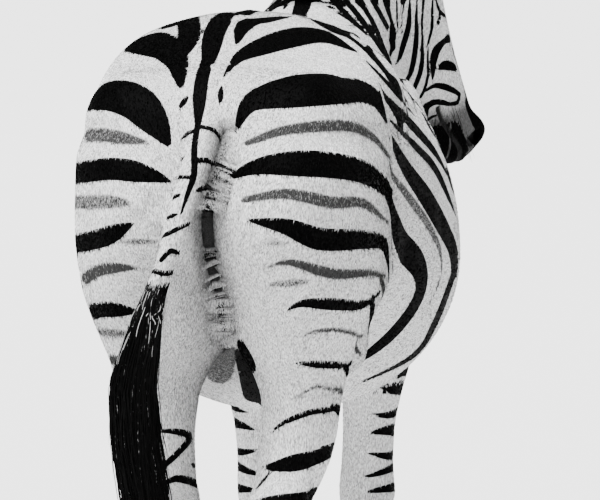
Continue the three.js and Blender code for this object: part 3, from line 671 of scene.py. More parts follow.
def edit(obj, *steps):
    """Runs edit-mode operators on obj: each step is an operator and its settings."""
    pick(obj)
    bpy.ops.object.mode_set(mode="EDIT")
    bpy.ops.mesh.select_mode(type="FACE")
    for operator, settings in steps:
        operator(**settings)
    bpy.ops.object.mode_set(mode="OBJECT")


def select_faces(obj, chosen):
    """Selects faces by a mask, in object mode."""
    mesh = obj.data
    for items in (mesh.vertices, mesh.edges):
        items.foreach_set("select", np.zeros(len(items), bool))
    mesh.polygons.foreach_set("select", chosen)
    mesh.update()


def new_mesh(name, vertices, faces, material=None, smooth=False):
    """An object from arrays: vertices, and faces that all have the same number of corners."""
    mesh = bpy.data.meshes.new(name)
    corners = faces.shape[1]
    mesh.vertices.add(len(vertices))
    mesh.vertices.foreach_set("co", np.ascontiguousarray(vertices, np.float32).ravel())
    mesh.loops.add(faces.size)
    mesh.loops.foreach_set("vertex_index", np.ascontiguousarray(faces, np.int32).ravel())
    mesh.polygons.add(len(faces))
    mesh.polygons.foreach_set("loop_start", np.arange(0, faces.size, corners, dtype=np.int32))
    mesh.polygons.foreach_set("use_smooth", np.full(len(faces), smooth))
    mesh.update(calc_edges=True)
    obj = bpy.data.objects.new(name, mesh)
    bpy.context.scene.collection.objects.link(obj)
    if material:
        mesh.materials.append(material)
    return obj


def set_attribute(mesh, name, values):
    layer = mesh.attributes.new(name, "FLOAT", "POINT")
    layer.data.foreach_set("value", np.ascontiguousarray(values, np.float32).ravel())


def smoothed(obj):
    """Marks every face as smooth."""
    obj.data.polygons.foreach_set("use_smooth", np.ones(len(obj.data.polygons), bool))


def select_all(obj):
    select_faces(obj, np.ones(len(obj.data.polygons), bool))


def get_attribute(mesh, name):
    return read(mesh.attributes[name].data, "value")


# ------------------------------------------------------------------ skin


def settle_skin(obj, turns):
    """Draws the skin's points onto its form."""
    points = place_in_animal(read(obj.data.vertices, "co", 3))
    set_places(obj.data, place_in_row(draw_onto(points, skin_field, turns)))


def refine(obj, region):
    """Splits the faces in a region once and draws the skin onto its form again."""
    middles = place_in_animal(read(obj.data.polygons, "center", 3))
    select_faces(obj, region(middles))
    edit(obj, (bpy.ops.mesh.subdivide, {"number_cuts": 1}))
    settle_skin(obj, 2)


def rear_and_legs(p):
    """Places where the skin is made finer: the rump, the legs and the head."""
    return (p[:, 1] < 0.16) | (p[:, 2] < 0.60) | (head_share(p) > 0.3)


def in_fold(p):
    """Places in and beside the dark fold between the thighs."""
    return (distance_to_line(p, CLEFT_LINE) > -0.007) & (p[:, 1] < 0.10) & (p[:, 2] > 0.80)


def near_head_detail(p, reach):
    """Places round the eyes, nostrils and mouth."""
    near = np.zeros(len(p), bool)
    along, side, up = (v / MM for v in head_axes(p))
    for hand in (-1, 1):
        eye = on_head(EYE[0], hand * EYE[1], EYE[2])
        near |= np.linalg.norm(p - eye, axis=1) < 0.030 * reach
        nostril = on_head(NOSTRIL[0], hand * NOSTRIL[1], NOSTRIL[2])
        near |= np.linalg.norm(p - nostril, axis=1) < 0.026 * reach
    lip = np.abs(up - MOUTH_UP(along * MM) / MM) < 9 * reach
    return near | (lip & (along > 392) & (np.abs(side) < 80) & (head_share(p) > 0.5))


def joined_copies(names):
    """Copies of carried-over solids as one free object."""
    deselect()
    copies = []
    for name in names:
        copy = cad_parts[name].copy()
        copy.data = copy.data.copy()
        copy.parent = None
        for key in list(copy.keys()):
            del copy[key]
        bpy.context.scene.collection.objects.link(copy)
        copy.select_set(True)
        copies.append(copy)
    bpy.context.view_layer.objects.active = copies[0]
    if len(copies) > 1:
        bpy.ops.object.join()
    copies[0].data.materials.clear()
    return copies[0]


def apply(obj, kind, **settings):
    """Adds a modifier, sets it and applies it."""
    pick(obj)
    modifier = obj.modifiers.new(kind.lower(), kind)
    for name, value in settings.items():
        setattr(modifier, name, value)
    bpy.ops.object.modifier_apply(modifier=modifier.name)


EAR_LENGTH = 158
EAR_WIDTH = 74
EAR_SHAPE = ratio([(0, 0.40), (120, 0.62), (350, 0.96), (500, 1), (750, 0.8), (920, 0.42),
                   (1000, 0.18)])
EAR_ROWS = 34
EAR_ACROSS = 22


def ear_axes(hand):
    """Root of an ear, the way it grows, the way it opens and the way across it."""
    root = on_head(4, hand * 44, -22)
    out = unit(-0.86 * ALONG + 0.36 * hand * SIDE + 0.2 * CROWN)
    opening = 0.62 * hand * SIDE + 0.72 * CROWN
    opening = unit(opening - out * (opening @ out))
    return root, out, opening, np.cross(out, opening)


def make_ear(hand):
    """An ear as a closed thin cup whose root lies inside the head."""
    root, out, opening, across = ear_axes(hand)
    rows = []
    for i in range(EAR_ROWS + 1):
        t = -0.22 + 1.22 * i / EAR_ROWS
        half = EAR_WIDTH / 2 * float(EAR_SHAPE(np.array(max(t, 0.0)))) * 0.94
        if t > 0.90:
            half *= math.sqrt(max(1 - ((t - 0.90) / 0.10) ** 2, 0.0)) * 0.92 + 0.08
        curl = 1.25 - 0.75 * max(t, 0) if t > 0 else 1.25
        wall = 3.2 - 1.4 * max(t, 0) + 10 * max(0.15 - t, 0)
        ring = []
        for layer, order in ((1, range(EAR_ACROSS + 1)), (-1, range(EAR_ACROSS, -1, -1))):
            for j in order:
                s = -1 + 2 * j / EAR_ACROSS
                bend = s * curl
                u = half * math.sin(bend) / math.sin(min(curl, 1.35))
                bowl = 0.66 * half * (math.cos(bend) - 1) * (1 if curl else 0)
                edge = math.sqrt(max(1 - s ** 4, 0.0))
                rib = 0.7 * math.cos(s * 9) * (1 - abs(s)) * (layer > 0)
                v = -bowl * -1.0 + 0.45 * half + (wall / 2 * edge + rib * edge) * layer
                ring.append(root + (out * (t * EAR_LENGTH + 10 * s * s * max(t, 0) * -1)
                                    + across * u + opening * (v - 8)) * MM)
        rows.append(ring)
    wide = len(rows[0])
    points = np.array(rows).reshape(-1, 3)
    faces = []
    for i in range(EAR_ROWS):
        for j in range(wide):
            k = (j + 1) % wide
            faces.append((i * wide + j, i * wide + k, (i + 1) * wide + k, (i + 1) * wide + j))
    mesh = bpy.data.meshes.new("ear")
    caps = [tuple(range(wide))[::-1], tuple(EAR_ROWS * wide + j for j in range(wide))]
    mesh.from_pydata([tuple(v) for v in place_in_row(points)], [], faces + caps)
    ear = bpy.data.objects.new("ear", mesh)
    bpy.context.scene.collection.objects.link(ear)
    select_all(ear)
    edit(ear, (bpy.ops.mesh.select_all, {"action": "SELECT"}),
         (bpy.ops.mesh.remove_doubles, {"threshold": 0.0002}),
         (bpy.ops.mesh.quads_convert_to_tris, {}),
         (bpy.ops.mesh.normals_make_consistent, {"inside": False}))
    return ear


def make_skin(settings):
    """Joins copies of the flesh, remeshes them as one skin and gives it its fine form."""
    skin = joined_copies(FLESH + ("eye_left", "eye_right"))
    skin.name = skin.data.name = "skin"
    apply(skin, "REMESH", mode="VOXEL", voxel_size=settings.voxel)
    select_all(skin)
    edit(skin, (bpy.ops.mesh.vertices_smooth, {"factor": 0.5, "repeat": 6}))
    settle_skin(skin, 6)
    edit(skin, (bpy.ops.mesh.vertices_smooth, {"factor": 0.5, "repeat": 2}))
    settle_skin(skin, 3)
    refine(skin, rear_and_legs)
    refine(skin, lambda p: (head_share(p) > 0.5) & (head_axes(p)[0] > 0.36)
           | near_head_detail(p, 1.5) | (dock(p) < 0.010) & (p[:, 2] < 1.15)
           | in_fold(p))
    refine(skin, in_fold)
    refine(skin, in_fold)
    refine(skin, lambda p: near_head_detail(p, 1.0))
    for hand in (-1, 1):
        ear = make_ear(hand)
        apply(skin, "BOOLEAN", operation="UNION", object=ear, solver="MANIFOLD")
        bpy.data.objects.remove(ear)
    smoothed(skin)
    return skin
# ------------------------------------------------------------------ markings
#
# Every stripe is a line on a plane beside the animal, carried straight onto the skin.
#   rear, crest  across and up, seen from a little to the right of behind
#   right, left  ahead and up, seen from that side
#   above, below to the right and ahead
#   front        to the right and up, seen from in front
#   cheek, face  along the head and above its face line, or to its side
# A mark is its shade (1 black, less for grey, 0 white), its widest half width, how full its
# start and its end are (0 pointed, 1 square) and its points, in centimetres.

REAR_TURN = math.radians(9.5)
REAR_RIGHT = np.array([math.cos(REAR_TURN), math.sin(REAR_TURN), 0])
REAR_AHEAD = np.array([-math.sin(REAR_TURN), math.cos(REAR_TURN), 0])

RUMP_MARKS = [
    # along the spine, and the patches beside it
    (1, 1.75, 1, .6, [(-1, 130), (-3, 126.5), (-4, 122)]),
    (1, 1.1, .95, .36, [(-4, 122.5), (-5, 119), (-5.5, 112.5)]),
    (1, 1.9, 1, .5, [(-7.5, 129.5), (-7, 126.5), (-8, 123.5)]),
    (1, 1.2, .1, 1, [(-12, 127), (-10, 128), (-8, 128)]),
    (1, 1.2, .3, .15, [(.5, 125), (1.5, 127.5), (4.5, 128.5)]),
    (1, .7, .9, .1, [(1.5, 128), (5, 128.5), (9.5, 129)]),
    # left haunch
    (1, 2.4, .1, .1, [(-19, 123.5), (-15.5, 124.5), (-11.5, 124.5), (-9, 122.5), (-8, 118)]),
    (1, .5, .4, .1, [(-7, 117), (-8.5, 115)]),
    (1, 2.8, .55, 0, [(-23, 116), (-19, 117), (-15, 116), (-12, 113), (-9.5, 109)]),
    (.6, 1.1, 1, .2, [(-24.5, 110.5), (-20, 111), (-13, 110)]),
    (1, 1.7, 1, 0, [(-24.5, 105), (-19, 106), (-14, 105.5), (-9, 104)]),
    (.45, 1.1, 1, .3, [(-24.5, 100.5), (-20, 101), (-15.5, 101)]),
    (1, 1.5, 1, 0, [(-24.5, 94), (-20, 95.5), (-15, 98)]),
    (.35, .5, .6, .5, [(-17, 95), (-12, 95)]),
    (.85, 1.0, 1, .15, [(-24, 88), (-20, 90.5), (-14.5, 91)]),
    (1, 1.3, 1, .25, [(-23.5, 82.5), (-20, 84), (-15, 84)]),
    (.45, .7, 1, .4, [(-22, 80), (-16, 80.5)]),
    (.95, .9, 1, .3, [(-21, 75.5), (-17, 76)]),
    (1, .55, .5, .8, [(-12.5, 65), (-9, 64.5), (-7, 63), (-11.5, 59)]),
    (1, .35, 1, .9, [(-6.5, 59), (-5, 58)]),
    (1, .6, .3, .7, [(-11.5, 56.5), (-9, 57.5), (-6.5, 56.5), (-4, 54.5)]),
    # right haunch
    (1, 1.7, .1, .1, [(-1.5, 120), (0, 122), (2, 123.5), (8, 125.5), (14, 126), (19.5, 123.5)]),
    (1, .5, .6, .6, [(-2, 118.5), (-2, 116)]),
    (1, 2.6, 0, .1, [(0, 111), (2, 115.5), (5, 117), (11, 118), (17, 118), (22, 116.5),
                     (24.5, 112)]),
    (.7, .95, .5, .4, [(2, 110), (8, 112), (17, 112.5), (21.5, 110.5), (25, 106.5)]),
    (1, 2.0, 0, .65, [(-2, 104), (3.5, 106.5), (11, 107), (18, 106), (22, 104), (25, 101)]),
    (.7, 1.0, .5, .3, [(1.5, 101.5), (8, 102.5), (15, 101), (20, 100.5), (24.5, 96.5)]),
    (1, 1.75, .1, .5, [(2, 98.5), (8, 97.5), (13, 95.5), (19, 95), (23, 94), (24.5, 91.5)]),
    (.35, .4, .5, .5, [(4.5, 95), (8, 95)]),
    (.9, .9, .1, .4, [(4.5, 91), (8.5, 92), (15, 90), (21, 89.5), (24, 88)]),
    (.35, .6, .5, .4, [(5.5, 88.5), (11.5, 89)]),
    (1, 1.0, 0, .5, [(7.5, 84), (10.5, 85.5), (16, 85), (20, 84.5), (23, 85.5)]),
    (.85, .42, .2, .8, [(9.5, 80), (13, 81), (17.5, 80.5), (20.5, 78.5)]),
    (1, .65, .1, .7, [(9, 76), (13.5, 75.5), (18.5, 74.5)]),
    (.6, .32, .5, .9, [(9.5, 70.5), (13, 72), (16.5, 70.5)]),
    (1, .5, 1, .2, [(17, 68), (12, 68), (8, 66.5), (5.5, 64.5)]),
    (1, 1.35, 0, .5, [(4, 59), (8.5, 60), (16.5, 61.5)]),
    (1, .2, .9, .8, [(5.5, 58.5), (3.5, 56)]),
    (1, 1.1, .1, .8, [(3.5, 54.5), (8.5, 54.5), (13.5, 55)]),
    # the groin: a black band, and a grey mark on its left that is painted shade under the belly
    (1, 2.3, .35, .9, [(1, 78.5), (2.5, 73), (3.5, 66)]),
    (.5, 2.2, .5, 1, [(-1, 76.5), (-2.5, 70)]),
]
DOCK_MARKS = [
    (1, .52, .9, .25, [(-5.5, 113), (-6, 109), (-6, 105.5), (-7, 102.5), (-8, 99.5)]),
    (1, .28, .7, 1, [(-8, 110.5), (-7, 111.5), (-5.5, 112)]),
    (1, .32, 1, .5, [(-5, 112.5), (-3, 112), (-2, 110.5)]),
    (1, .32, 1, .3, [(-8.5, 107.5), (-7.5, 108)]),
    (1, .30, 1, 1, [(-9, 105), (-6.5, 105)]),
    (1, .30, 1, .3, [(-9, 102), (-8, 102.5)]),
    (1, .35, 1, .4, [(-10, 99), (-8.5, 99.5)]),
    (1, .42, 1, .5, [(-6, 107.5), (-4, 107.5), (-2.5, 106.5)]),
    (1, .48, .6, .9, [(-5.5, 103), (-4, 103.5)]),
    (1, .36, .9, .9, [(-11, 96), (-8, 97.5), (-5.5, 98.5)]),
    (1, .40, .9, .8, [(-11, 92.5), (-9.5, 94), (-8, 93.5), (-6.5, 94.5)]),
    (1, .45, .9, .8, [(-12.5, 91), (-10, 90.5), (-7.5, 91.5)]),
    (1, .7, .9, .8, [(-13, 88), (-11, 87.5), (-8.5, 89)]),
]
# Right of the thigh, the flank and the shoulder as they are seen from behind, then the neck.
FLANK_MARKS = [
    (1, 1.35, .3, .5, [(25, 110), (28, 104.5), (31.5, 99.5), (34.5, 94.5), (37, 89.5),
                       (37.5, 85)]),
    (1, .7, .9, .3, [(37.5, 86), (34, 77), (30.5, 71.5), (21, 68)]),
    (.8, .12, .6, .6, [(25, 111), (32.5, 104), (38, 95.5)]),
    (1, .6, .2, .1, [(24, 113.5), (27, 110.5), (30.5, 107), (34, 103), (38, 94.5)]),
    (1, .7, .2, .1, [(23, 118.5), (24, 116.5), (27, 113.5), (33.5, 106.5), (36.5, 101.5)]),
    (1, .35, .3, .25, [(21, 122), (24, 119), (30.5, 112)]),
    (1, .8, .2, .1, [(12.5, 128.5), (16, 127), (21, 125.5), (22, 123), (24.5, 120.5)]),
    (.7, .12, .6, .6, [(21, 123.5), (24.5, 120.5), (30.5, 113)]),
    (1, .56, .2, .1, [(19.5, 127), (25, 126.5), (26.5, 123.5), (29.5, 117.5), (31, 112)]),
]
NECK_MARKS = [
    (1, .36, 1, .8, [(9, 131), (9, 130)]),
    (1, .27, 1, .8, [(10, 131.5), (9.5, 130)]),
    (1, .72, .85, 1, [(13, 131.5), (12, 129)]),
    (1, .27, 1, .4, [(15, 131.5), (17.5, 130), (21, 127.5)]),
    (1, .48, .9, .4, [(17.5, 131.5), (20.5, 128.5), (24, 125)]),
    (1, .57, .95, .3, [(20, 131.5), (23.5, 127), (27, 121.5)]),
    (1, .5, .95, .25, [(22.5, 131.5), (25.5, 126.5), (28.5, 119)]),
    (1, .51, 1, .35, [(25, 131.5), (28, 126.5), (29.5, 123), (28.5, 119.5)]),
    (1, .55, 1, .2, [(27.5, 131.5), (29.5, 126), (30, 122)]),
    (1, .22, .8, .4, [(30, 131.5), (30.5, 125.5)]),
]
WITHERS_PALE = [(0, .5, .5, .6, [(13, 129), (18.5, 127), (22.5, 125.5), (26, 121),
                                 (28.5, 117.5)])]
THIGH_EDGE = [(0, .22, .5, .6, [(23, 118.5), (24.5, 113), (25.5, 107), (26.5, 103.5)])]
# The middle of the fold between the thighs as seen from behind, its half width and how full its
# ends are: the furrow in the form follows it, and painted shade darkens along it.
CLEFT_LINE = (.9, .55, .4, [(-1.5, 111), (-2, 107.5), (-3, 104), (-4, 99.5), (-4, 95.5),
                            (-3.5, 91), (-2.5, 86.5), (-1.5, 80)])
RIGHT_MARKS = [
    (1, 2.4, .8, .25, [(3, 102), (12, 98.6), (20, 93), (28.5, 88), (31, 83.5), (28, 77), (23, 69)]),
    (.5, 1.0, .4, .4, [(8, 106), (22.5, 100), (34, 93), (39, 87), (36.5, 81)]),
    (1, 1.5, 1, .05, [(2, 93), (8, 91), (18, 86)]),
    (.85, .8, 1, .1, [(0, 88.3), (12, 84), (16, 81.5)]),
    (1, 1.0, .9, .2, [(-5, 85), (5, 82), (15, 77)]),
    (.9, .55, .9, .3, [(-4, 78.6), (9, 74.8)]),
    (1, .8, .9, .3, [(-6, 74.6), (6, 71.6)]),
    (.7, .6, .5, .3, [(-9, 71.4), (4, 69)]),
    (1, .9, .6, .5, [(-9, 68.4), (2, 66.2)]),
    (1, 1.2, .8, .5, [(-11, 61.6), (-6, 61.4), (0, 60)]),
    (1, 1.3, .8, .7, [(-13, 55), (-3, 54.2)]),
]
RIGHT_COVERED = [
    (1, 2.4, .25, .45, [(4, 117), (18, 112), (34, 105.5), (47, 96), (53.5, 84), (52.5, 75),
                        (48, 64.5)]),
]
LEFT_MARKS = [
    (1, 2.3, .75, .25, [(-12, 104.4), (0, 102), (14, 97.2), (26, 89.5), (30.5, 82), (28, 75.5),
                        (25, 70)]),
    (.5, 1.0, .9, .3, [(-12, 110), (10, 105), (29, 96), (38, 87), (36, 80)]),
    (1, 3.3, .55, .35, [(-5, 115.8), (10, 111), (26, 103.6), (39, 95), (44.5, 84.5), (40, 75.5),
                        (35, 68)]),
    (1, 2.4, .1, .45, [(9, 116), (26, 109.6), (41, 101), (52, 88.5), (52.5, 77), (48.5, 64.5)]),
    (.4, 1.0, 1, .3, [(-12, 100), (4, 96.2)]),
    (1, 1.4, 1, .2, [(-13, 93.2), (0, 90), (14, 85.5)]),
    (.85, .9, 1, .3, [(-12, 87.6), (8, 83)]),
    (1, 1.2, 1, .1, [(-10, 82), (3, 79.5), (14, 75.5)]),
    (.95, .9, 1, .3, [(-9, 75.2), (7, 71.4)]),
    (1, .9, .7, .4, [(-11, 69.6), (3, 67)]),
    (1, 1.1, .7, .5, [(-13, 64.6), (0, 62.6)]),
    (1, 1.1, .7, .5, [(-14, 59.2), (-2, 58)]),
    (1, 1.1, .8, .7, [(-14, 54.4), (-3, 53.8)]),
]
SIDE_MARKS = [  # on both sides
    (.5, .6, .3, .3, [(12, 111.6), (31, 103.2), (44, 94), (49.5, 82), (47, 74)]),
    (1, 2.5, .35, .5, [(18, 129.8), (11, 125.2), (14, 119.4), (31, 113.7), (48, 104.5), (60, 90),
                       (62, 79), (59, 65)]),
    (.4, .5, .4, .8, [(20, 121.2), (40, 113.4), (57, 101), (65.5, 84)]),
    (1, 2.7, .3, .45, [(28, 130), (22, 123.6), (36, 117.4), (54, 108.3), (68, 92), (70.5, 79),
                       (68, 64.5)]),
    (1, 2.7, .4, .35, [(41, 128.3), (37.6, 124.6), (50, 117.8), (67, 106), (77, 88), (78, 67)]),
    (1, 2.5, .4, .4, [(54, 128), (51.5, 124.4), (64, 115.6), (78.5, 101), (85, 84)]),
    (1, 2.2, .45, .35, [(66, 128.6), (65.5, 124), (78, 111.5), (90, 96), (94, 89)]),
    (1, 1.7, .65, .5, [(77.6, 137), (74.6, 125), (82.5, 113.6), (97, 99), (101, 92)]),
    (1, 1.6, .7, .7, [(80.2, 140.5), (79, 127), (87, 114.6), (102, 101)]),
    (1, 1.5, .7, .6, [(83.6, 144), (84, 129), (93.6, 114.4), (106, 104.5)]),
    (1, 1.5, .7, .65, [(87.4, 147), (91, 129), (101, 115.4), (106.5, 110.5)]),
    (1, 1.4, .8, .7, [(91.4, 150), (94, 139), (101.4, 124.6), (107, 118)]),
    (1, 1.4, .8, .65, [(95.6, 153), (99.6, 142), (107.6, 128.6), (111, 124)]),
    (1, 1.3, .75, .75, [(100, 156), (105.4, 145.2), (113.4, 132.4)]),
    (1, 1.1, .8, .75, [(105, 158), (110.8, 148.6), (117.4, 138)]),
    (.4, .4, .6, .5, [(12, 97), (22, 84)]),
]
BREAST_MARKS = [  # to the right, up, half width
    (1, 1.2, .8, .8, [(-17, 113), (0, 106.6), (17, 113)]),
    (1, 1.2, .8, .8, [(-19, 106), (0, 100.2), (19, 106)]),
    (1, 1.2, .8, .8, [(-20, 98.6), (0, 94), (20, 98.6)]),
    (1, 1.1, .8, .8, [(-20, 91.6), (0, 88), (20, 91.6)]),
    (1, 1.0, .9, .3, [(-19, 85), (-3, 82.2)]),
    (1, 1.0, .9, .3, [(19, 85), (3, 82.2)]),
    (1, .9, 1, .2, [(-18, 78.6), (-5, 76.6)]),
    (1, .9, 1, .2, [(18, 78.6), (5, 76.6)]),
]
SPINE_MARKS = [  # to the right, ahead
    (1, 1.6, 1, .45, [(-.2, 8), (0, 16), (0, 42)]),
    (1, 1.5, .45, 1, [(0, 40), (0, 60), (0, 78)]),
]
BELLY_MARKS = [(1, 1.6, .8, .6, [(0, 30), (0, 74)])]
CHEEK_MARKS = [  # along the head, above the face line; on both sides
    (.9, .26, 1, .3, [(3, -12.4), (10, -13.4), (21.6, -14)]),
    (1, .3, 1, .4, [(3, -11.2), (10, -12.4), (17, -13), (23.6, -13.8)]),
    (1, .36, 1, .8, [(2, -9.4), (9, -10.4), (18, -11.4)]),
    (1, .66, .4, .3, [(18, -11.4), (22, -12), (26, -13.8), (29.4, -14.6)]),
    (1, .36, 1, .5, [(2, -7.8), (9, -8.8), (18.6, -9.6)]),
    (1, .6, .35, .5, [(18.6, -9.6), (24, -10.6), (30, -12.4), (34.2, -13.4)]),
    (1, .45, .8, .6, [(3, -6.2), (12, -7.2), (19.4, -8), (25, -9.4)]),
    (1, .5, .5, .5, [(25, -9.4), (30.6, -10.8), (34.4, -12.2), (37.4, -12.6)]),
    (1, .3, .9, .9, [(7, -5.4), (18.4, -5.4), (27.2, -8.4)]),
    (1, .3, .95, .35, [(27.2, -8.4), (34, -10.4), (38.4, -12), (41.8, -11.8)]),
    (1, .56, .3, .5, [(19.4, -4), (22.4, -4.4), (24, -3.6), (25, -1.8)]),
    (1, .4, 1, .2, [(23.2, -4.8), (25.2, -7)]),
    (1, .9, 1, .12, [(29, -3.2), (28.6, -5.4), (30.4, -7.6), (35, -9.6)]),
    (1, 1.0, .1, .6, [(33.4, -8), (33.2, -6.4), (33.8, -5), (35, -3.6)]),
    (1, .65, .35, .65, [(36.4, -11), (36, -9.4), (37.6, -6.8), (40, -4.4)]),
    (1, .42, .9, .9, [(40, -4.4), (41.2, -5.6), (40.6, -7.6)]),
    (1, .65, .65, .3, [(40.6, -7.6), (39.4, -9.4), (39.4, -11), (42.6, -11.8)]),
    (1, .32, .3, .7, [(42, -9.8), (41.8, -10.8), (44.2, -12.4)]),
    (1, .22, .5, 1, [(44.4, -11.4), (45.4, -12.4)]),
    (.5, .57, .55, 1, [(31, -2.8), (37.6, -1.6), (42.4, -2.6)]),
    (1, .45, .9, .5, [(9, -3), (15, -1.2), (21.4, -2.6)]),
]
FACE_MARKS = [  # along the head, to its side; on both sides
    (1, .35, .9, .5, [(5, .1), (20, 0), (27, 0)]),
    (1, .35, .9, .4, [(4, 1.3), (11, 1.4), (25.5, .7)]),
    (1, .35, .9, .4, [(4, 2.6), (10, 2.9), (23, 1.7)]),
    (1, .4, .8, .4, [(5, 4.1), (10, 4.5), (21, 2.8)]),
    (1, .4, .9, .8, [(7, 5.8), (11, 6), (15, 5.2)]),
]
LIP_LINES = [  # paler rims of the lips: along the head, above the face line
    [(44, -8.5), (48, -9.9), (50.7, -10.5)],
    [(49.2, -8.6), (52.3, -8.9)],
]

LEG_RING_POINTS = 20
HIND_RINGS = (50.6, 46.6, 42.9, 39.4, 36, 32.6, 29.3, 26, 22.8, 19.6, 16.4, 13.2, 10)
FORE_RINGS = (73.6, 70.2, 66.9, 63.7, 60.6, 57.2, 53.5, 49.7, 45.8, 42.1, 38.5, 34.9, 31.5,
              28.2, 25, 21.8, 18.8, 15.8, 12.8, 10)
MARK_STEP = 1.2
TAPER = 0.45
FAR_OFF = -0.03
LONGEST_STEP = 0.10
DEEPEST = 0.30


def along_curve(points, step=MARK_STEP):
    """A Catmull-Rom line through points, at about even steps."""
    points = np.array(points, float)
    padded = np.vstack((2 * points[0] - points[1], points, 2 * points[-1] - points[-2]))
    out = []
    for i in range(len(points) - 1):
        a, b, c, d = padded[i:i + 4]
        count = max(2, int(np.linalg.norm(c - b) / step) + 1)
        for t in np.arange(count) / count:
            out.append(.5 * (2 * b + (c - a) * t + (2 * a - 5 * b + 4 * c - d) * t * t
                             + (3 * b - a - 3 * c + d) * t ** 3))
    out.append(points[-1])
    return np.array(out)


def drawn(wide, start, end, points):
    """A stripe's places with the half width at each."""
    line = along_curve(points)
    run = np.concatenate(([0], np.cumsum(np.linalg.norm(np.diff(line, axis=0), axis=1))))
    t = run / run[-1]
    fade = (1 - (1 - start) * np.maximum(0, 1 - t / TAPER) ** 1.5) \
        * (1 - (1 - end) * np.maximum(0, 1 - (1 - t) / TAPER) ** 1.5)
    return np.column_stack((line, np.maximum(wide * fade, 0.02)))


# How much a step straight through a drawing counts, beside one across it, on each plane.
THROUGH = {"rear": 0.25, "dock": 0.05, "flank": 0.05, "crest": 0.10, "right": 0.7, "left": 0.7,
           "front": 0.7, "above": 0.5, "below": 0.7, "cheek_right": 0.6, "cheek_left": 0.6,
           "face": 0.6}
SEEN_FROM_BEHIND = -0.03    # how far back a flank has to face to be drawn from behind
FLANK_FROM = 0.20
DRAWN_FROM, DRAWN_UP_TO = 0.60, 1.312   # heights between which the rear drawings count
BEYOND_SHOULDER = 0.80
WITHERS_FROM = 0.50          # the crest plane starts further back for what stands this high


def plane_rays(plane, u, v):
    """Where a drawing's point lies beside the animal and the way it is carried onto it."""
    u, v = u / 100, v / 100
    if plane in ("rear", "dock", "flank", "crest"):
        start = -2
        if plane == "crest":
            start = WITHERS_FROM if u < 0.22 and v > 1.255 else BEYOND_SHOULDER
        return REAR_RIGHT * u + REAR_AHEAD * start + np.array([0, 0, v]), REAR_AHEAD
    if plane in ("right", "left"):
        hand = 1 if plane == "right" else -1
        return np.array([2.0 * hand, u, v]), np.array([-1.0 * hand, 0, 0])
    if plane in ("above", "below"):
        way = 1 if plane == "above" else -1
        return np.array([u, v, 2.0 if way > 0 else 0.3]), np.array([0, 0, -1.0 * way])
    if plane == "front":
        return np.array([u, 3.0, v]), np.array([0, -1.0, 0])
    if plane == "face":
        return POLL + ALONG * u + SIDE * v + CROWN, -CROWN
    hand = 1 if plane == "cheek_right" else -1
    return POLL + ALONG * u + CROWN * v + SIDE * hand, -SIDE * hand


class Skin:
    """The skin as a surface that marks are carried onto, in the animal's own axes."""

    def __init__(self, obj):
        points = place_in_animal(read(obj.data.vertices, "co", 3))
        faces = [tuple(f.vertices) for f in obj.data.polygons]
        self.tree = BVHTree.FromPolygons([Vector(v) for v in points], faces)

    def carry(self, plane, u, v):
        start, way = plane_rays(plane, u, v)
        hit, out = self.tree.ray_cast(Vector(start), Vector(way))[:2]
        return None if hit is None or out.dot(Vector(way)) > 0 else np.array(hit)

    def drawn_from_behind(self, place):
        """Whether a place on the right flank or neck is one that the rear drawings cover."""
        if place[1] < FLANK_FROM or not DRAWN_FROM < place[2] < DRAWN_UP_TO:
            return False
        near, out = self.tree.find_nearest(Vector(place))[:2]
        if out.dot(Vector(REAR_AHEAD)) > SEEN_FROM_BEHIND:
            return False
        return self.tree.ray_cast(near + out * 0.006, -Vector(REAR_AHEAD))[0] is None

    def nearest(self, place):
        return np.array(self.tree.find_nearest(Vector(place))[0])

    def line(self, plane, mark, covered=False):
        """A drawn stripe as places on the skin with their half widths, in metres."""
        out = []
        for u, v, w in drawn(*mark):
            middle = self.carry(plane, u, v)
            if middle is None:
                if not out:
                    continue
                start, way = plane_rays(plane, u, v)
                depth = (out[-1][:3] - start) @ way
                middle = self.nearest(start + way * depth)
                miss = middle - start
                if np.linalg.norm(miss - way * (miss @ way)) < 0.04:
                    middle = start + way * (miss @ way)
            if covered and self.drawn_from_behind(middle):
                w = -1.0
            out.append(np.append(middle, w / 100))
        return np.array(out)

    def ring(self, name, z, w, rng, reach):
        """A band round a leg that is widest at its outer side and thins out behind."""
        side = STANCE[name][1]
        out = []
        lean = rng.uniform(-0.05, 0.12)
        for i in range(LEG_RING_POINTS + 1):
            angle = (i / LEG_RING_POINTS * 2 - 1) * reach + 0.25
            height = z / 100 + 0.010 * lean * 100 * math.cos(angle) * 0.12 \
                + 0.003 * math.sin(2 * angle + z)
            x, y, wide, deep = (float(v) for v in leg_section(name, np.array(height)))
            place = (x + side * wide * math.cos(angle), y + deep * math.sin(angle), height)
            fade = 1 - abs(i / LEG_RING_POINTS * 2 - 1) ** 2.2
            out.append(np.append(self.nearest(place), w / 100 * fade))
        return np.array(out)


SIDE_JITTER = 0.5
CHEEK_JITTER = 0.12
OFF_DOCK, ON_DOCK = 0, 1


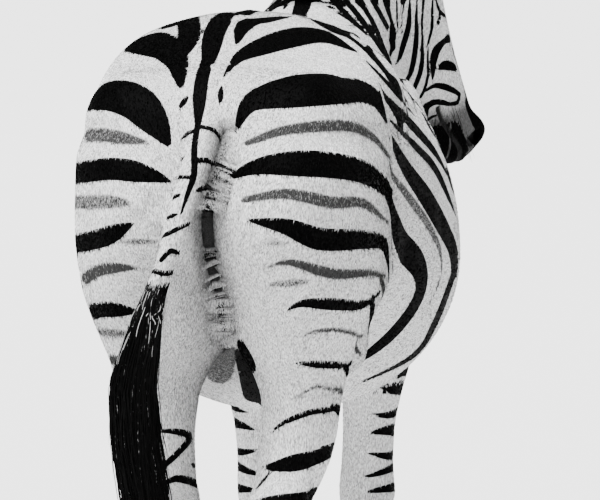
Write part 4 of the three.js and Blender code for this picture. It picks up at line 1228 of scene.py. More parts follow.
def gather_marks(skin, seed):
    """Every mark: shade, where it counts, the way and reach it is carried, and its line."""
    rng = np.random.default_rng(seed)
    lines = []

    def add(plane, marks, where=OFF_DOCK, covered=False):
        for shade, *mark in marks:
            line = skin.line(plane, mark, covered)
            if len(line) > 1:
                lines.append((shade, where, plane_rays(plane, 0, 0)[1], THROUGH[plane], line))

    def jittered(marks, size):
        """The same stripes, a little differently placed for the other side."""
        out = []
        for *rest, points in marks:
            moved = np.array(points, float) + rng.normal(0, size, 2)
            out.append((*rest, moved + rng.normal(0, size / 3, (len(moved), 2))))
        return out

    add("rear", RUMP_MARKS)
    add("dock", DOCK_MARKS, ON_DOCK)
    add("rear", DOCK_MARKS[:3])
    add("flank", FLANK_MARKS)
    add("crest", NECK_MARKS)
    add("right", RIGHT_MARKS)
    add("right", RIGHT_COVERED + SIDE_MARKS, covered=True)
    add("left", LEFT_MARKS + jittered(SIDE_MARKS, SIDE_JITTER))
    add("front", BREAST_MARKS)
    add("above", SPINE_MARKS)
    add("below", BELLY_MARKS)
    add("cheek_right", CHEEK_MARKS)
    add("cheek_left", jittered(CHEEK_MARKS, CHEEK_JITTER))
    add("face", FACE_MARKS)
    add("face", [(*rest, [(a, 0.1 - s) for a, s in points])
                 for *rest, points in FACE_MARKS if points[0][1] > 0.5])
    for name in STANCE:
        hind = "hind" in name
        for z in (HIND_RINGS if hind else FORE_RINGS):
            high = z > 52
            size = (0.62 if hind else 0.55) + 0.35 * (z > 30) + 0.25 * high
            reach = (2.5 if z < 40 else 2.1) - 0.5 * high + rng.uniform(-0.2, 0.3)
            height = z + rng.uniform(-0.35, 0.35)
            band = skin.ring(name, height, size * rng.uniform(.8, 1.15), rng, reach)
            lines.append((1, OFF_DOCK, np.zeros(3), 1.0, band))
    add("flank", THIGH_EDGE)
    add("crest", WITHERS_PALE)
    return lines


DOCK_ROOT = 1.12


def is_dock(p):
    """Whether places lie on the tail rather than on the body behind it."""
    near = dock(p)
    return (near < 0.008) & (near < flesh(p) + 0.002) & (p[:, 2] < DOCK_ROOT)


def distance_to_line(points, mark):
    """Signed depth inside a stripe drawn from behind, however deep it goes."""
    flat = np.stack((points @ REAR_RIGHT, points[:, 2]), 1)
    line = drawn(*mark) / 100
    best = np.full(len(points), -1.0)
    for a, b in zip(line[:-1], line[1:]):
        t, off = to_length(flat, a[:2], b[:2])
        best = np.maximum(best, a[2] + (b[2] - a[2]) * t - off)
    return best


CHIN_FROM = 0.438
NOSE_FROM = 0.414
LIP_RIM = 0.0014


def muzzle_dark(points):
    """Signed depth inside the black of the chin, the lips and the nose."""
    along, side, up = head_axes(points)
    ragged = 0.0022 * np.sin(900 * up + 400 * side) + 0.0016 * np.sin(700 * along + 500 * up)
    chin = blend(along - CHIN_FROM, -0.068 - up, 0.022) + ragged
    nose = blend(along - NOSE_FROM, up + 0.034 + (along - 0.41) * 0.22, 0.012)
    dark = np.maximum(chin, nose)
    flat = np.stack((along, up), 1)
    for line in LIP_LINES:
        line = np.array(line) / 100
        for a, b in zip(line[:-1], line[1:]):
            dark = np.minimum(dark, to_length(flat, a, b)[1] - LIP_RIM)
    return np.where(head_share(points) > 0.5, dark, FAR_OFF)


CLEFT_BEHIND = 0.60
DOCK_SKIN = 0.0015          # the dock itself, without the fillet at its foot


def painted_cleft_shade(points):
    """Signed depth inside the painted shade, a black band, along the fold between the thighs,
    beside the dock.
    """
    outside = (points[:, 1] > CLEFT_BEHIND) | (dock(points) < DOCK_SKIN)
    return np.where(outside, FAR_OFF, distance_to_line(points, CLEFT_LINE))


def markings(points, lines):
    """Signed depth inside black marks, the painted shade of the fold between the thighs among them,
    inside grey ones, and how dark the grey is.
    """
    black = np.full(len(points), FAR_OFF)
    grey = np.full(len(points), FAR_OFF)
    dark = np.full(len(points), 0.5)
    on_dock = is_dock(points)
    order = np.argsort(points[:, 2])
    level = points[order, 2]
    for shade, where, way, through, line in lines:
        reach = line[:, 3].max() - FAR_OFF * 0.35
        spare = reach + min(reach / through, DEEPEST) * np.abs(way)
        low, high = line[:, :3].min(0) - spare, line[:, :3].max(0) + spare
        some = order[np.searchsorted(level, low[2]):np.searchsorted(level, high[2])]
        here = points[some]
        near = (here[:, 0] > low[0]) & (here[:, 0] < high[0])
        near &= (here[:, 1] > low[1]) & (here[:, 1] < high[1]) & (on_dock[some] == where)
        some = some[near]
        if len(some) == 0:
            continue
        here = points[some]
        best = np.full(len(some), FAR_OFF)
        for a, b in zip(line[:-1], line[1:]):
            span = b[:3] - a[:3]
            if span @ span > LONGEST_STEP ** 2:
                continue
            flat = span - way * (span @ way)
            rel = here - a[:3]
            deep = rel @ way
            t = np.clip(rel @ flat / max(flat @ flat, 1e-9), 0, 1)
            off = np.linalg.norm(rel - deep[:, None] * way - t[:, None] * flat, axis=1)
            past = np.abs(deep - t * (span @ way)) * through
            best = np.maximum(best, a[3] + (b[3] - a[3]) * t - np.hypot(off, past))
        if shade == 1:
            black[some] = np.maximum(black[some], best)
        elif shade == 0:
            black[some] = np.minimum(black[some], -best)
        else:
            more = best > grey[some]
            dark[some] = np.where(more, shade, dark[some])
            grey[some] = np.where(more, best, grey[some])
    black = np.maximum(black, muzzle_dark(points))
    # painted shade: the fold between the thighs drawn as black
    black = np.maximum(black, painted_cleft_shade(points))
    for hand in (-1, 1):
        middle, look, corner, over = eye_frame(hand)
        off = points - middle
        around = np.sqrt((off @ corner / 1.25) ** 2 + ((off @ over) / 0.9) ** 2)
        around = np.where(off @ look > -0.004, around, 1.0)
        black = np.maximum(black, 0.0175 - around)
        root, out, opening, across = ear_axes(hand)
        off = (points - root) / MM
        t = off @ out / EAR_LENGTH
        near = (np.linalg.norm(off - np.outer(off @ out, out), axis=1) < 62) & (t > 0.12)
        near &= t < 1.2
        behind = off @ opening < 8
        tip = (t - 0.70) * 0.16
        band = 0.014 - np.abs(t - 0.36) * 0.15
        ear = np.where(behind, np.maximum(tip, band), (t - 0.80) * 0.16)
        rim = (np.abs(off @ across) - 30) * MM * 0.8
        ear = np.where(behind, ear, np.maximum(ear, rim))
        black = np.where(near, np.maximum(ear, FAR_OFF), black)
    return black, grey, dark
# ------------------------------------------------------------------ shaders


class Signal:
    """A number on its way through a material: arithmetic on it adds Math nodes."""

    def __init__(self, tree, socket):
        self.tree = tree
        self.socket = socket

    def math(self, operation, *others, clamp=False):
        node = self.tree.nodes.new("ShaderNodeMath")
        node.operation = operation
        node.use_clamp = clamp
        for slot, value in zip(node.inputs, (self,) + others):
            feed(self.tree, slot, value)
        return Signal(self.tree, node.outputs[0])

    def __add__(self, other):
        return self.math("ADD", other)

    def __sub__(self, other):
        return self.math("SUBTRACT", other)

    def __mul__(self, other):
        return self.math("MULTIPLY", other)

    def __truediv__(self, other):
        return self.math("DIVIDE", other)

    def __rsub__(self, other):
        return (self * -1) + other

    __radd__ = __add__
    __rmul__ = __mul__

    def ramp(self, low, high):
        """0 below low, 1 above high, soft between."""
        node = self.tree.nodes.new("ShaderNodeMapRange")
        node.interpolation_type = "SMOOTHSTEP"
        for slot, value in zip(node.inputs, (self, low, high, 0, 1)):
            feed(self.tree, slot, value)
        return Signal(self.tree, node.outputs[0])


def feed(tree, slot, value):
    """Sets a socket to a constant or links it to a signal."""
    if isinstance(value, Signal):
        tree.links.new(value.socket, slot)
    else:
        slot.default_value = value


class Paint:
    """A material under construction."""

    def __init__(self, name):
        self.material = bpy.data.materials.new(name)
        self.material.use_nodes = True
        self.tree = self.material.node_tree
        self.shader = self.tree.nodes["Principled BSDF"]

    def node(self, kind, settings=None, inputs=None, output=0):
        node = self.tree.nodes.new(kind)
        for name, value in (settings or {}).items():
            setattr(node, name, value)
        for name, value in (inputs or {}).items():
            feed(self.tree, node.inputs[name], value)
        return Signal(self.tree, node.outputs[output])

    def attribute(self, name):
        return self.node("ShaderNodeAttribute", {"attribute_name": name}, output=2)

    def place(self):
        return self.node("ShaderNodeTexCoord", output=3)

    def stretched(self, scale):
        """The object's own places, scaled along each axis."""
        return self.node("ShaderNodeVectorMath", {"operation": "MULTIPLY"},
                         {0: self.place(), 1: scale})

    def noise(self, scale, stretch=(1, 1, 1), detail=2.0):
        return self.node("ShaderNodeTexNoise", {},
                         {"Vector": self.stretched(stretch), "Scale": scale, "Detail": detail})

    def mix(self, share, first, second):
        """A colour between two."""
        node = self.tree.nodes.new("ShaderNodeMix")
        node.data_type = "RGBA"
        for slot, value in ((0, share), (6, first), (7, second)):
            feed(self.tree, node.inputs[slot], value)
        return Signal(self.tree, node.outputs[2])

    def bump(self, height, distance, strength=1.0):
        return self.node("ShaderNodeBump", {},
                         {"Height": height, "Distance": distance, "Strength": strength})

    def finish(self, **inputs):
        for name, value in inputs.items():
            feed(self.tree, self.shader.inputs[name.replace("_", " ")], value)
        return self.material


def grey_tone(value, warm=0.0):
    return (value * (1 + warm), value, value * (1 - warm), 1)


WHITE_HAIR = grey_tone(0.86)
SHADE_HAIR = grey_tone(0.14)
DARK_HAIR = grey_tone(0.030)
BLACK_HAIR = grey_tone(0.0007)
# painted sheen: random paler specks in the black that stand in for the shine of the hair
BLACK_SHEEN = grey_tone(0.0035)
EDGE_RAG = 0.0020
LIE_ALONG = (620, 150, 620)
LIE_DOWN = (620, 620, 150)


def hair_noise(paint):
    """Fine noise drawn out along the lie of the coat."""
    down = paint.attribute("lie_down")
    level = paint.noise(1.0, LIE_ALONG)
    upright = paint.noise(1.0, LIE_DOWN)
    return level + (upright - level) * down


def coat_colour(paint, grain):
    """The markings as a colour, with ragged edges and a fine grain, painted shade between the
    thighs and under the belly, and a painted sheen in the black.
    """
    black = paint.attribute("black") + (grain - 0.5) * EDGE_RAG
    grey = paint.attribute("grey") + (grain - 0.5) * (EDGE_RAG * 1.8)
    dark = paint.attribute("dark")
    inside = black.ramp(-0.0005, 0.0005)
    speckle = (grain - 0.5) * 2.6 + dark + 0.22
    shadow = grey.ramp(-0.0014, 0.0022) * speckle.ramp(0.22, 0.78)
    cloud = paint.noise(9.0, detail=3.0)
    tone = bpy.context.scene.zebra_coat
    pale = paint.mix(grain.ramp(0.26, 0.78) * 0.86 + cloud * 0.20, tuple(tone.shade_hair),
                     tuple(tone.white_hair))
    # painted shade in the fold between the thighs, on the inner left thigh and under the belly,
    # mixed with the muzzle's own darker tone
    soft = paint.mix(paint.attribute("shade_and_muzzle"), pale, tuple(tone.dark_hair))
    shaded = paint.mix(shadow, soft, tuple(tone.dark_hair))
    # painted sheen in the black stripes
    sheen = paint.mix(grain.ramp(0.45, 0.75), tuple(tone.black_hair), tuple(tone.black_sheen))
    return paint.mix(inside, shaded, sheen), inside


def skin_material():
    paint = Paint("coat_skin")
    grain = hair_noise(paint)
    colour, inside = coat_colour(paint, grain)
    bare_skin_or_cleft_shade = paint.attribute("bare_skin_or_cleft_shade")
    pores = paint.noise(900.0, detail=1.0)
    wrinkles = paint.noise(1.0, (40, 40, 420), detail=3.0) * paint.attribute("creased")
    height = grain * 0.5 + paint.noise(60.0) * 0.5 + wrinkles * 3.0 + pores * bare_skin_or_cleft_shade * 0.4
    # dark bare skin, which in the fold between the thighs is painted shade
    hide = paint.mix(pores.ramp(0.35, 0.7), grey_tone(0.010), grey_tone(0.030))
    return paint.finish(
        Base_Color=paint.mix(bare_skin_or_cleft_shade, colour, hide),
        Roughness=0.62 - inside * 0.06 - bare_skin_or_cleft_shade * 0.12,
        Normal=paint.bump(height, 0.0016, 0.75),
        Specular_IOR_Level=0.01)


def tuft_material():
    paint = Paint("coat_tufts")
    shade = paint.attribute("shade")
    grain = shade * 0.5 + paint.noise(420.0) * 0.5
    colour, inside = coat_colour(paint, grain)
    return paint.finish(Base_Color=colour, Roughness=0.58 - inside * 0.08,
                        Normal=paint.bump(paint.noise(1500.0), 0.0003, 0.5),
                        Specular_IOR_Level=0.01)


def hair_material(name, dark, pale, share):
    """Long hair: strands mostly dark with a share of pale ones, or the other way round."""
    paint = Paint(name)
    shade = paint.attribute("shade")
    black = paint.attribute("black")
    streak = paint.noise(1.0, (900, 900, 60))
    mixed = (shade + (streak - 0.5) * 0.35).ramp(share - 0.05, share + 0.05)
    colour = paint.mix(mixed, dark, pale)
    colour = paint.mix(black.ramp(-0.001, 0.001), colour, dark)
    return paint.finish(Base_Color=colour, Roughness=0.45 + streak * 0.15,
                        Normal=paint.bump(streak, 0.0006, 0.6), Specular_IOR_Level=0.04)


def eye_material():
    paint = Paint("eye_ball")
    across = paint.attribute("pupil")
    rim = paint.attribute("rim")
    fibres = paint.noise(1.0, (420, 420, 420), detail=3.0)
    iris = paint.mix(fibres.ramp(0.3, 0.75), grey_tone(0.010, 0.10), grey_tone(0.050, 0.12))
    iris = paint.mix(across.ramp(-0.3, 0.6), iris, grey_tone(0.0015))
    white = paint.mix(fibres.ramp(0.4, 0.8), grey_tone(0.10), grey_tone(0.05))
    return paint.finish(Base_Color=paint.mix(rim.ramp(-0.2, 0.2), iris, white),
                        Roughness=0.10 + fibres * 0.02, Coat_Weight=1.0, Coat_Roughness=0.02)


def hoof_material():
    paint = Paint("hoof_horn")
    rings = paint.noise(1.0, (14, 14, 420), detail=3.0)
    grain = paint.noise(1.0, (520, 520, 24), detail=2.0)
    streak = paint.noise(1.0, (60, 60, 6), detail=2.0)
    worn = paint.noise(45.0, detail=4.0)
    colour = paint.mix(streak.ramp(0.35, 0.7), grey_tone(0.030), grey_tone(0.105))
    colour = paint.mix(worn.ramp(0.58, 0.78), colour, grey_tone(0.20))
    return paint.finish(Base_Color=colour, Roughness=0.42 + grain * 0.25,
                        Normal=paint.bump(rings * 0.7 + grain * 0.3, 0.0014, 0.7))


def floor_material():
    paint = Paint("studio_floor")
    return paint.finish(Base_Color=paint.mix(paint.noise(0.5), grey_tone(0.93), grey_tone(0.95)),
                        Roughness=0.9)
# ------------------------------------------------------------------ coat, hair, eyes, hooves


def lie_of_coat(p, n):
    """The way the hair lies at places with outward directions n, along the skin."""
    share = head_share(p)[:, None]
    y, z = p[:, 1:2], p[:, 2:3]
    flow = np.tile((0.0, -0.85, -0.45), (len(p), 1))
    down = np.array((0.0, -0.12, -1.0))
    rump = ease(y, 0.14, -0.10)
    limbs = ease(z, 0.80, 0.62)
    breast = ease(y, 0.92, 1.0) * ease(z, 1.15, 1.05)
    flow = flow + (down - flow) * np.maximum(np.maximum(rump, limbs), breast)
    neck_part = ease(z, 1.20, 1.34) * ease(y, 0.70, 0.80)
    flow = flow + (np.array((0.0, -0.45, -0.85)) - flow) * neck_part
    inward = ease(y, -0.10, -0.20) * ease(z, 0.75, 0.85)
    flow[:, 0] -= 0.25 * inward[:, 0] * np.sign(p[:, 0])
    face = ALONG - 0.30 * CROWN
    flow = flow + (face - flow) * share
    for hand in (-1, 1):
        root, out = ear_axes(hand)[:2]
        off = (p - root) / MM
        on_ear = ((off @ out > 14) & (np.linalg.norm(off - np.outer(off @ out, out), axis=1) < 50)
                  & (off @ out < 175))
        flow[on_ear] = out
    tail = is_dock(p)
    flow[tail] = (-0.2, -0.1, -1.0)
    flow = flow - n * (flow * n).sum(1, keepdims=True)
    return unit(flow)


class Roots:
    """Hair roots scattered over a skin's triangles, with what the skin carries at each."""

    def __init__(self, skin, names):
        mesh = skin.data
        mesh.calc_loop_triangles()
        self.corner = read(mesh.loop_triangles, "loops", 3, np.int32)
        self.vertex = read(mesh.loop_triangles, "vertices", 3, np.int32)
        self.points = place_in_animal(read(mesh.vertices, "co", 3))
        self.normals = read(mesh.vertices, "normal", 3) * (-1, -1, 1)
        self.uv = read(mesh.uv_layers["OFBake"].data, "uv", 2)
        self.carried = {name: get_attribute(mesh, name) for name in names}
        a, b, c = (self.points[self.vertex[:, k]] for k in range(3))
        self.area = np.linalg.norm(np.cross(b - a, c - a), axis=1) / 2
        self.middle = (a + b + c) / 3

    def scatter(self, count, weight, rng):
        """count roots over the skin, as thick as weight says."""
        chance = self.area * weight
        chosen = rng.choice(len(chance), count, p=chance / chance.sum())
        u, v = rng.random((2, count))
        over = u + v > 1
        u, v = np.where(over, 1 - u, u), np.where(over, 1 - v, v)
        share = np.stack((1 - u - v, u, v), 1)

        def at(values, index):
            picked = values[index[chosen]]
            if picked.ndim == 3:
                return (picked * share[:, :, None]).sum(1)
            return (picked * share).sum(1)

        roots = {"place": at(self.points, self.vertex),
                 "out": unit(at(self.normals, self.vertex)), "uv": at(self.uv, self.corner)}
        for name, values in self.carried.items():
            roots[name] = at(values, self.vertex)
        return roots


UV_PATCH = 0.0015           # half the size of a tuft's patch on the map
TUFT_TURN = 0.20            # how much the lie varies from tuft to tuft
TUFT_SUNK = 0.0007
TUFT_RISE = 0.0014
TUFT_FACES = ((0, 2, 1), (0, 1, 3), (0, 3, 2), (1, 2, 3))


def make_tufts(name, roots, length, width, rise, rng, material):
    """Thin closed tufts that lie along the skin: one four-sided sliver at each root."""
    p, n = roots["place"], roots["out"]
    count = len(p)
    lie = lie_of_coat(p, n)
    side = np.cross(n, lie)
    turn = rng.normal(0, TUFT_TURN, count)[:, None]
    lie = unit(lie + side * turn)
    side = np.cross(n, lie)
    length, width, rise = (size[:, None] * rng.uniform(low, high, count)[:, None]
                           for size, low, high in ((length, 0.7, 1.25), (width, 0.75, 1.25),
                                                   (rise, 0.5, 1.5)))
    sunk = p - n * TUFT_SUNK
    corners = np.stack((sunk - side * width / 2, sunk + side * width / 2,
                        p + n * (0.25 * rise + 0.0005) + lie * length * 0.3,
                        p + n * rise * 0.7 + lie * length), 1)
    start = np.arange(count)[:, None] * 4
    faces = np.concatenate([start + np.array(f) for f in TUFT_FACES], 1).reshape(-1, 3)
    obj = new_mesh(name, place_in_row(corners.reshape(-1, 3)), faces, material)
    for key in ("black", "grey", "dark", "shade_and_muzzle", "lie_down"):
        set_attribute(obj.data, key, np.repeat(roots[key], 4))
    set_attribute(obj.data, "shade", np.repeat(rng.random(count), 4))
    add_bake_map(obj, roots["uv"], faces, 4)
    return obj


def add_bake_map(obj, centres, faces, per_tuft):
    """Gives every tuft a small patch of the map round its root's own place."""
    angle = np.arange(per_tuft) * (2 * math.pi / per_tuft)
    ring = np.stack((np.cos(angle), np.sin(angle)), 1) * UV_PATCH
    spots = np.clip(centres[:, None, :] + ring[None], 0.001, 0.999).reshape(-1, 2)
    layer = obj.data.uv_layers.new(name="OFBake")
    layer.data.foreach_set("uv", np.ascontiguousarray(spots[faces.ravel()], np.float32).ravel())


def make_strands(name, paths, radii, shades, blacks, material):
    """Closed three-sided tapering strands, each along its own path."""
    count, rings, _ = paths.shape
    along = unit(np.gradient(paths, axis=1))
    aside = unit(np.cross(along, np.array([0.31, 0.83, 0.46])))
    over = np.cross(along, aside)
    angle = np.arange(3) * 2 * math.pi / 3
    ring = (aside[:, :, None] * np.cos(angle)[:, None] + over[:, :, None]
            * np.sin(angle)[:, None]) * radii[:, :, None, None]
    body = (paths[:, :, None] + ring)[:, :-1].reshape(count, -1, 3)
    points = np.concatenate((body, paths[:, -1:]), 1)
    size = points.shape[1]
    faces = [(0, 2, 1)]
    for i in range(rings - 2):
        for k in range(3):
            a, b = i * 3 + k, i * 3 + (k + 1) % 3
            faces += [(a, b, b + 3), (a, b + 3, a + 3)]
    last = (rings - 2) * 3
    faces += [(last + k, last + (k + 1) % 3, size - 1) for k in range(3)]
    faces = (np.arange(count)[:, None, None] * size + np.array(faces)[None]).reshape(-1, 3)
    obj = new_mesh(name, place_in_row(points.reshape(-1, 3)), faces, material, smooth=True)
    spread_out = np.concatenate((np.repeat(blacks[:, :-1], 3, axis=1), blacks[:, -1:]), 1)
    set_attribute(obj.data, "black", spread_out.ravel())
    set_attribute(obj.data, "shade", np.repeat(shades, size))
    return obj


COAT_PARTS = {  # tufts by part of the body
    "coat_rump": lambda p: ease(p[:, 1], 0.20, 0.18) * (p[:, 2] > 0.66),
    "coat_barrel": lambda p: (p[:, 1] > 0.19) * (p[:, 1] < 0.70) * (p[:, 2] > 0.5)
    * (head_share(p) < 0.5),
    "coat_fore": lambda p: (p[:, 1] >= 0.70) * (p[:, 2] > 0.66) * (head_share(p) < 0.5),
    "coat_limbs": lambda p: (p[:, 2] <= 0.66) * (p[:, 2] > 0.055) * ((p[:, 1] < 0.19)
                                                                     | (p[:, 1] > 0.70)),
    "coat_head": lambda p: head_share(p) >= 0.5,
}
COAT_PARTS["coat_rump_fine"] = COAT_PARTS["coat_rump"]


def hair_size(p):
    """How long the coat is at places, as a share of the longest."""
    share = head_share(p)
    along = head_axes(p)[0]
    low = ease(p[:, 2], 0.70, 0.45)
    size = 1 - 0.30 * low - 0.42 * share - 0.22 * share * ease(along, 0.30, 0.46)
    fetlock = ease(p[:, 2], 0.12, 0.08)
    return np.maximum(size + 0.5 * fetlock, 0.25)


def make_coat(skin, lines, settings, seed):
    """The short coat in pieces, one for each part of the body."""
    rng = np.random.default_rng(seed)
    roots = Roots(skin, ("shade_and_muzzle", "bare_skin_or_cleft_shade", "lie_down"))
    material = tuft_material()
    coat = []
    for name, where in COAT_PARTS.items():
        middle = roots.middle
        bare_skin_or_cleft_shade = roots.carried["bare_skin_or_cleft_shade"][roots.vertex].mean(1)
        # no tufts on bare skin, nor on the painted shade in the fold between the thighs
        weight = where(middle).astype(float) * (bare_skin_or_cleft_shade < 0.5) / hair_size(middle) ** 1.3
        picked = roots.scatter(settings.tufts, weight, rng)
        picked.update(zip(("black", "grey", "dark"), markings(picked["place"], lines)))
        size = hair_size(picked["place"])
        obj = make_tufts(name, picked, settings.length * size, settings.width * size ** 0.6,
                         TUFT_RISE * size, rng, material)
        coat.append(obj)
    return coat


CREST = [(0, 792, 1286), (0, 846, 1292)]


def crest_places():
    """Places along the crest from the withers over the poll to the forelock."""
    places = [np.array(c) * MM for c in CREST]
    outward = unit(np.array([-0.10, -0.86, 0.5]))
    for section in NECK[2:]:
        places.append(section[:3] + outward * section[3] * 0.94)
    places += [on_head(-4, 0, -14), on_head(52, 0, 4)]
    return along_curve(places, 0.008)


MANE_RINGS = 5
MANE_HEIGHT = 0.090
MANE_HALF = 0.013
MANE_CENTRE = np.array([75, 1140, 1090]) * MM   # what the mane stands away from
MANE_BANDS_FROM = 0.025     # how far below the crest the bands of the mane are read


def make_mane(carry, lines, count, seed):
    """The upright mane: locks that stand along the crest, banded like the neck."""
    rng = np.random.default_rng(seed + 1)
    line = crest_places()
    reach = np.concatenate(([0], np.cumsum(np.linalg.norm(np.diff(line, axis=0), axis=1))))
    t = np.sort(rng.random(count))
    foot, ahead, back = (
        np.stack([np.interp(t * reach[-1] + shift, reach, line[:, k]) for k in range(3)], 1)
        for shift in (0, 0.01, -0.01))
    along = unit(ahead - back)
    away = unit(foot - MANE_CENTRE)
    at_withers = np.array([0, -0.25, 1.0])
    upright = at_withers + (away - at_withers) * np.clip(t * 1.6, 0, 1)[:, None]
    upright = unit(upright - along * (upright * along).sum(1, keepdims=True))
    across = np.cross(along, upright)
    swell = np.sqrt(np.sin(math.pi * np.clip(0.06 + 0.9 * t, 0, 1)))
    place = rng.uniform(-1, 1, len(t))
    wide = MANE_HALF * (0.45 + 0.55 * swell)
    height = MANE_HEIGHT * swell * (1 - 0.22 * np.abs(place) ** 2) * rng.uniform(0.86, 1.06, len(t))
    sunk = np.array([carry.nearest(f) for f in foot[::6]])
    sunk = np.stack([np.interp(t, t[::6], sunk[:, k]) for k in range(3)], 1)
    start = sunk + across * (place * wide)[:, None] - upright * 0.006
    way = unit(upright + across * (place * 0.13 + rng.normal(0, 0.05, len(t)))[:, None]
               + along * rng.normal(0.02, 0.07, len(t))[:, None])
    rise = np.linspace(0, 1, MANE_RINGS)
    curl = along * rng.normal(0, 0.004, len(t))[:, None] + across * rng.normal(
        0, 0.003, len(t))[:, None]
    full = height + 0.006 + np.linalg.norm(sunk - foot, axis=1) * 0.5
    paths = start[:, None] + way[:, None] * rise[None, :, None] * full[:, None, None] \
        + curl[:, None] * (rise ** 2)[None, :, None]
    thick = rng.uniform(0.0016, 0.0026, len(t))[:, None] * np.array([1, 1, 0.9, 0.6, 0])[None]
    side = np.where(place > 0, 1.0, -1.0)[:, None] * across
    beside = (sunk - upright * MANE_BANDS_FROM + side * 0.05)[::6]
    beside = np.array([carry.nearest(b) for b in beside])[np.arange(len(t)) // 6]
    black = markings(beside, lines)[0]
    forelock = ease(t, 0.93, 0.97)
    black = np.maximum(black, (forelock - 0.5) * 0.02)
    blacks = black[:, None] + np.where(rise > 0.80, 0.008, 0.0)[None]
    return make_strands("mane_hair", paths, thick, rng.random(len(t)), blacks,
                        hair_material("mane_locks", BLACK_HAIR, grey_tone(0.72), 0.04))


TAIL_RINGS = 10


def tail_path(s):
    """Middle and half sizes of the tail, from 0 at its root to 1 at the tuft's end."""
    at = np.clip(s, 0, 1) * (len(TAIL) - 1)
    return np.stack([np.interp(at, np.arange(len(TAIL)), TAIL[:, k]) for k in range(5)], -1)


def make_tail(count, seed):
    """The tail's long hair, from the sides of the dock down to the hocks."""
    rng = np.random.default_rng(seed + 2)
    begin = 0.455 + 0.10 * np.sqrt(rng.random(count))
    end = rng.uniform(0.78, 1.0, count) - 0.10 * (rng.random(count) ** 3)
    early = ease(begin, 0.54, 0.47)
    pale = rng.random(count) < 0.02 + 0.14 * early
    end = np.where(pale, begin + (end - begin) * rng.uniform(0.15, 0.6, count), end)
    angle = rng.uniform(0, 2 * math.pi, count)
    depth = np.sqrt(rng.random(count))
    rise = np.linspace(0, 1, TAIL_RINGS)
    s = begin[:, None] + (end - begin)[:, None] * rise[None]
    base = tail_path(s)
    fan = 0.80 * (1 - rise) ** 2 + depth[:, None] * (1 - (1 - rise) ** 2)
    fan = np.where(s < 0.54, np.maximum(fan, 0.72), fan)
    wave = 0.006 * rise[None] * np.sin(rise[None] * rng.uniform(3, 8, (count, 1))
                                       + rng.uniform(0, 6.3, (count, 1)))
    turn = angle[:, None] + 0.5 * rise[None] * rng.normal(0, 1, (count, 1))
    sway = rng.normal(0, 0.004, (count, 1)) * rise[None] ** 2
    x = np.cos(turn) * base[..., 3] * fan * 1.08 + wave + sway
    y = np.sin(turn) * base[..., 4] * fan * 1.08 + wave * 0.6
    paths = base[..., :3] + np.stack((x, y, np.zeros_like(x)), -1)
    taper = np.array([0.7, 1, 1, 1, 1, 0.95, 0.85, 0.7, 0.45, 0])[None]
    thick = rng.uniform(0.0005, 0.0012, count) * np.where(pale, 0.6, 1)
    thick = thick[:, None] * taper
    shades = np.where(pale, rng.uniform(0.93, 1.0, count), rng.uniform(0, 0.85, count))
    blacks = np.full((count, TAIL_RINGS), -0.01)
    blacks += np.where(rise > 0.75, 0.02, 0.0)[None]
    return make_strands("tail_hair", paths, thick, shades, blacks,
                        hair_material("tail_strands", BLACK_HAIR, grey_tone(0.42), 0.89))


def make_eye(hand):
    """An eyeball with a bulging cornea, turned so its pupil lies level."""
    name = "eye_ball_left" if hand < 0 else "eye_ball_right"
    deselect()
    bpy.ops.mesh.primitive_uv_sphere_add(segments=64, ring_count=40, radius=1.0)
    ball = bpy.context.active_object
    ball.name = ball.data.name = name
    unit_points = read(ball.data.vertices, "co", 3)
    middle, look, corner, over = eye_frame(hand)
    c, o, f = unit_points[:, 0], unit_points[:, 1], unit_points[:, 2]
    off_axis = np.hypot(c, o)
    iris = 0.74
    swell = np.where(f > 0, 0.045 * ease(off_axis, iris, 0.2), 0)
    radius = EYE_RADIUS * (0.985 + swell)
    points = middle + (c[:, None] * corner + o[:, None] * over + f[:, None] * look) \
        * np.broadcast_to(radius, c.shape)[:, None]
    set_places(ball.data, place_in_row(points))
    set_attribute(ball.data, "pupil", np.where(f > 0, 1 - np.hypot(c / 0.36, o / 0.20), -1))
    set_attribute(ball.data, "rim", np.where(f > 0, (off_axis - iris) * 4, 1))
    smoothed(ball)
    edit(ball, (bpy.ops.mesh.select_all, {"action": "SELECT"}),
         (bpy.ops.mesh.normals_make_consistent, {"inside": False}))
    ball.data.materials.append(eye_material())
    return ball


HOOF_PROUD = 0.0015
HOOF_VOXEL = 0.0045
HORN_RINGS = ((0.0005, 0.0075), (0.0004, 0.0190))   # height and spacing


def make_hoof(name, side_name, material):
    """A hoof drawn onto its limb's line, with growth rings and a worn lower edge."""
    hoof = joined_copies((name,))
    hoof.name = hoof.data.name = name.replace("hoof_", "horn_")
    apply(hoof, "REMESH", mode="VOXEL", voxel_size=HOOF_VOXEL)
    start = coronet_middle(side_name)
    (fine, close), (coarse, wide) = HORN_RINGS

    def field(p):
        z = p[:, 2]
        rings = fine * np.sin(z * 2 * math.pi / close + 9 * p[:, 1]) \
            + coarse * np.sin(z * 2 * math.pi / wide)
        wall = leg(p, side_name) - HOOF_PROUD - rings * ease(z, 0.004, 0.012)
        top = -((p - start) @ CORONET_FACING) - 0.003
        return -blend(blend(-wall, -top, 0.006), z, 0.005)

    points = place_in_animal(read(hoof.data.vertices, "co", 3))
    points = draw_onto(points, field, 5)
    points[:, 2] = np.maximum(points[:, 2], 0)
    set_places(hoof.data, place_in_row(points))
    smoothed(hoof)
    hoof.data.materials.append(material)
    return hoof


FINE_HAIR_RINGS = 6
LASHES = 70
WHISKERS = 260


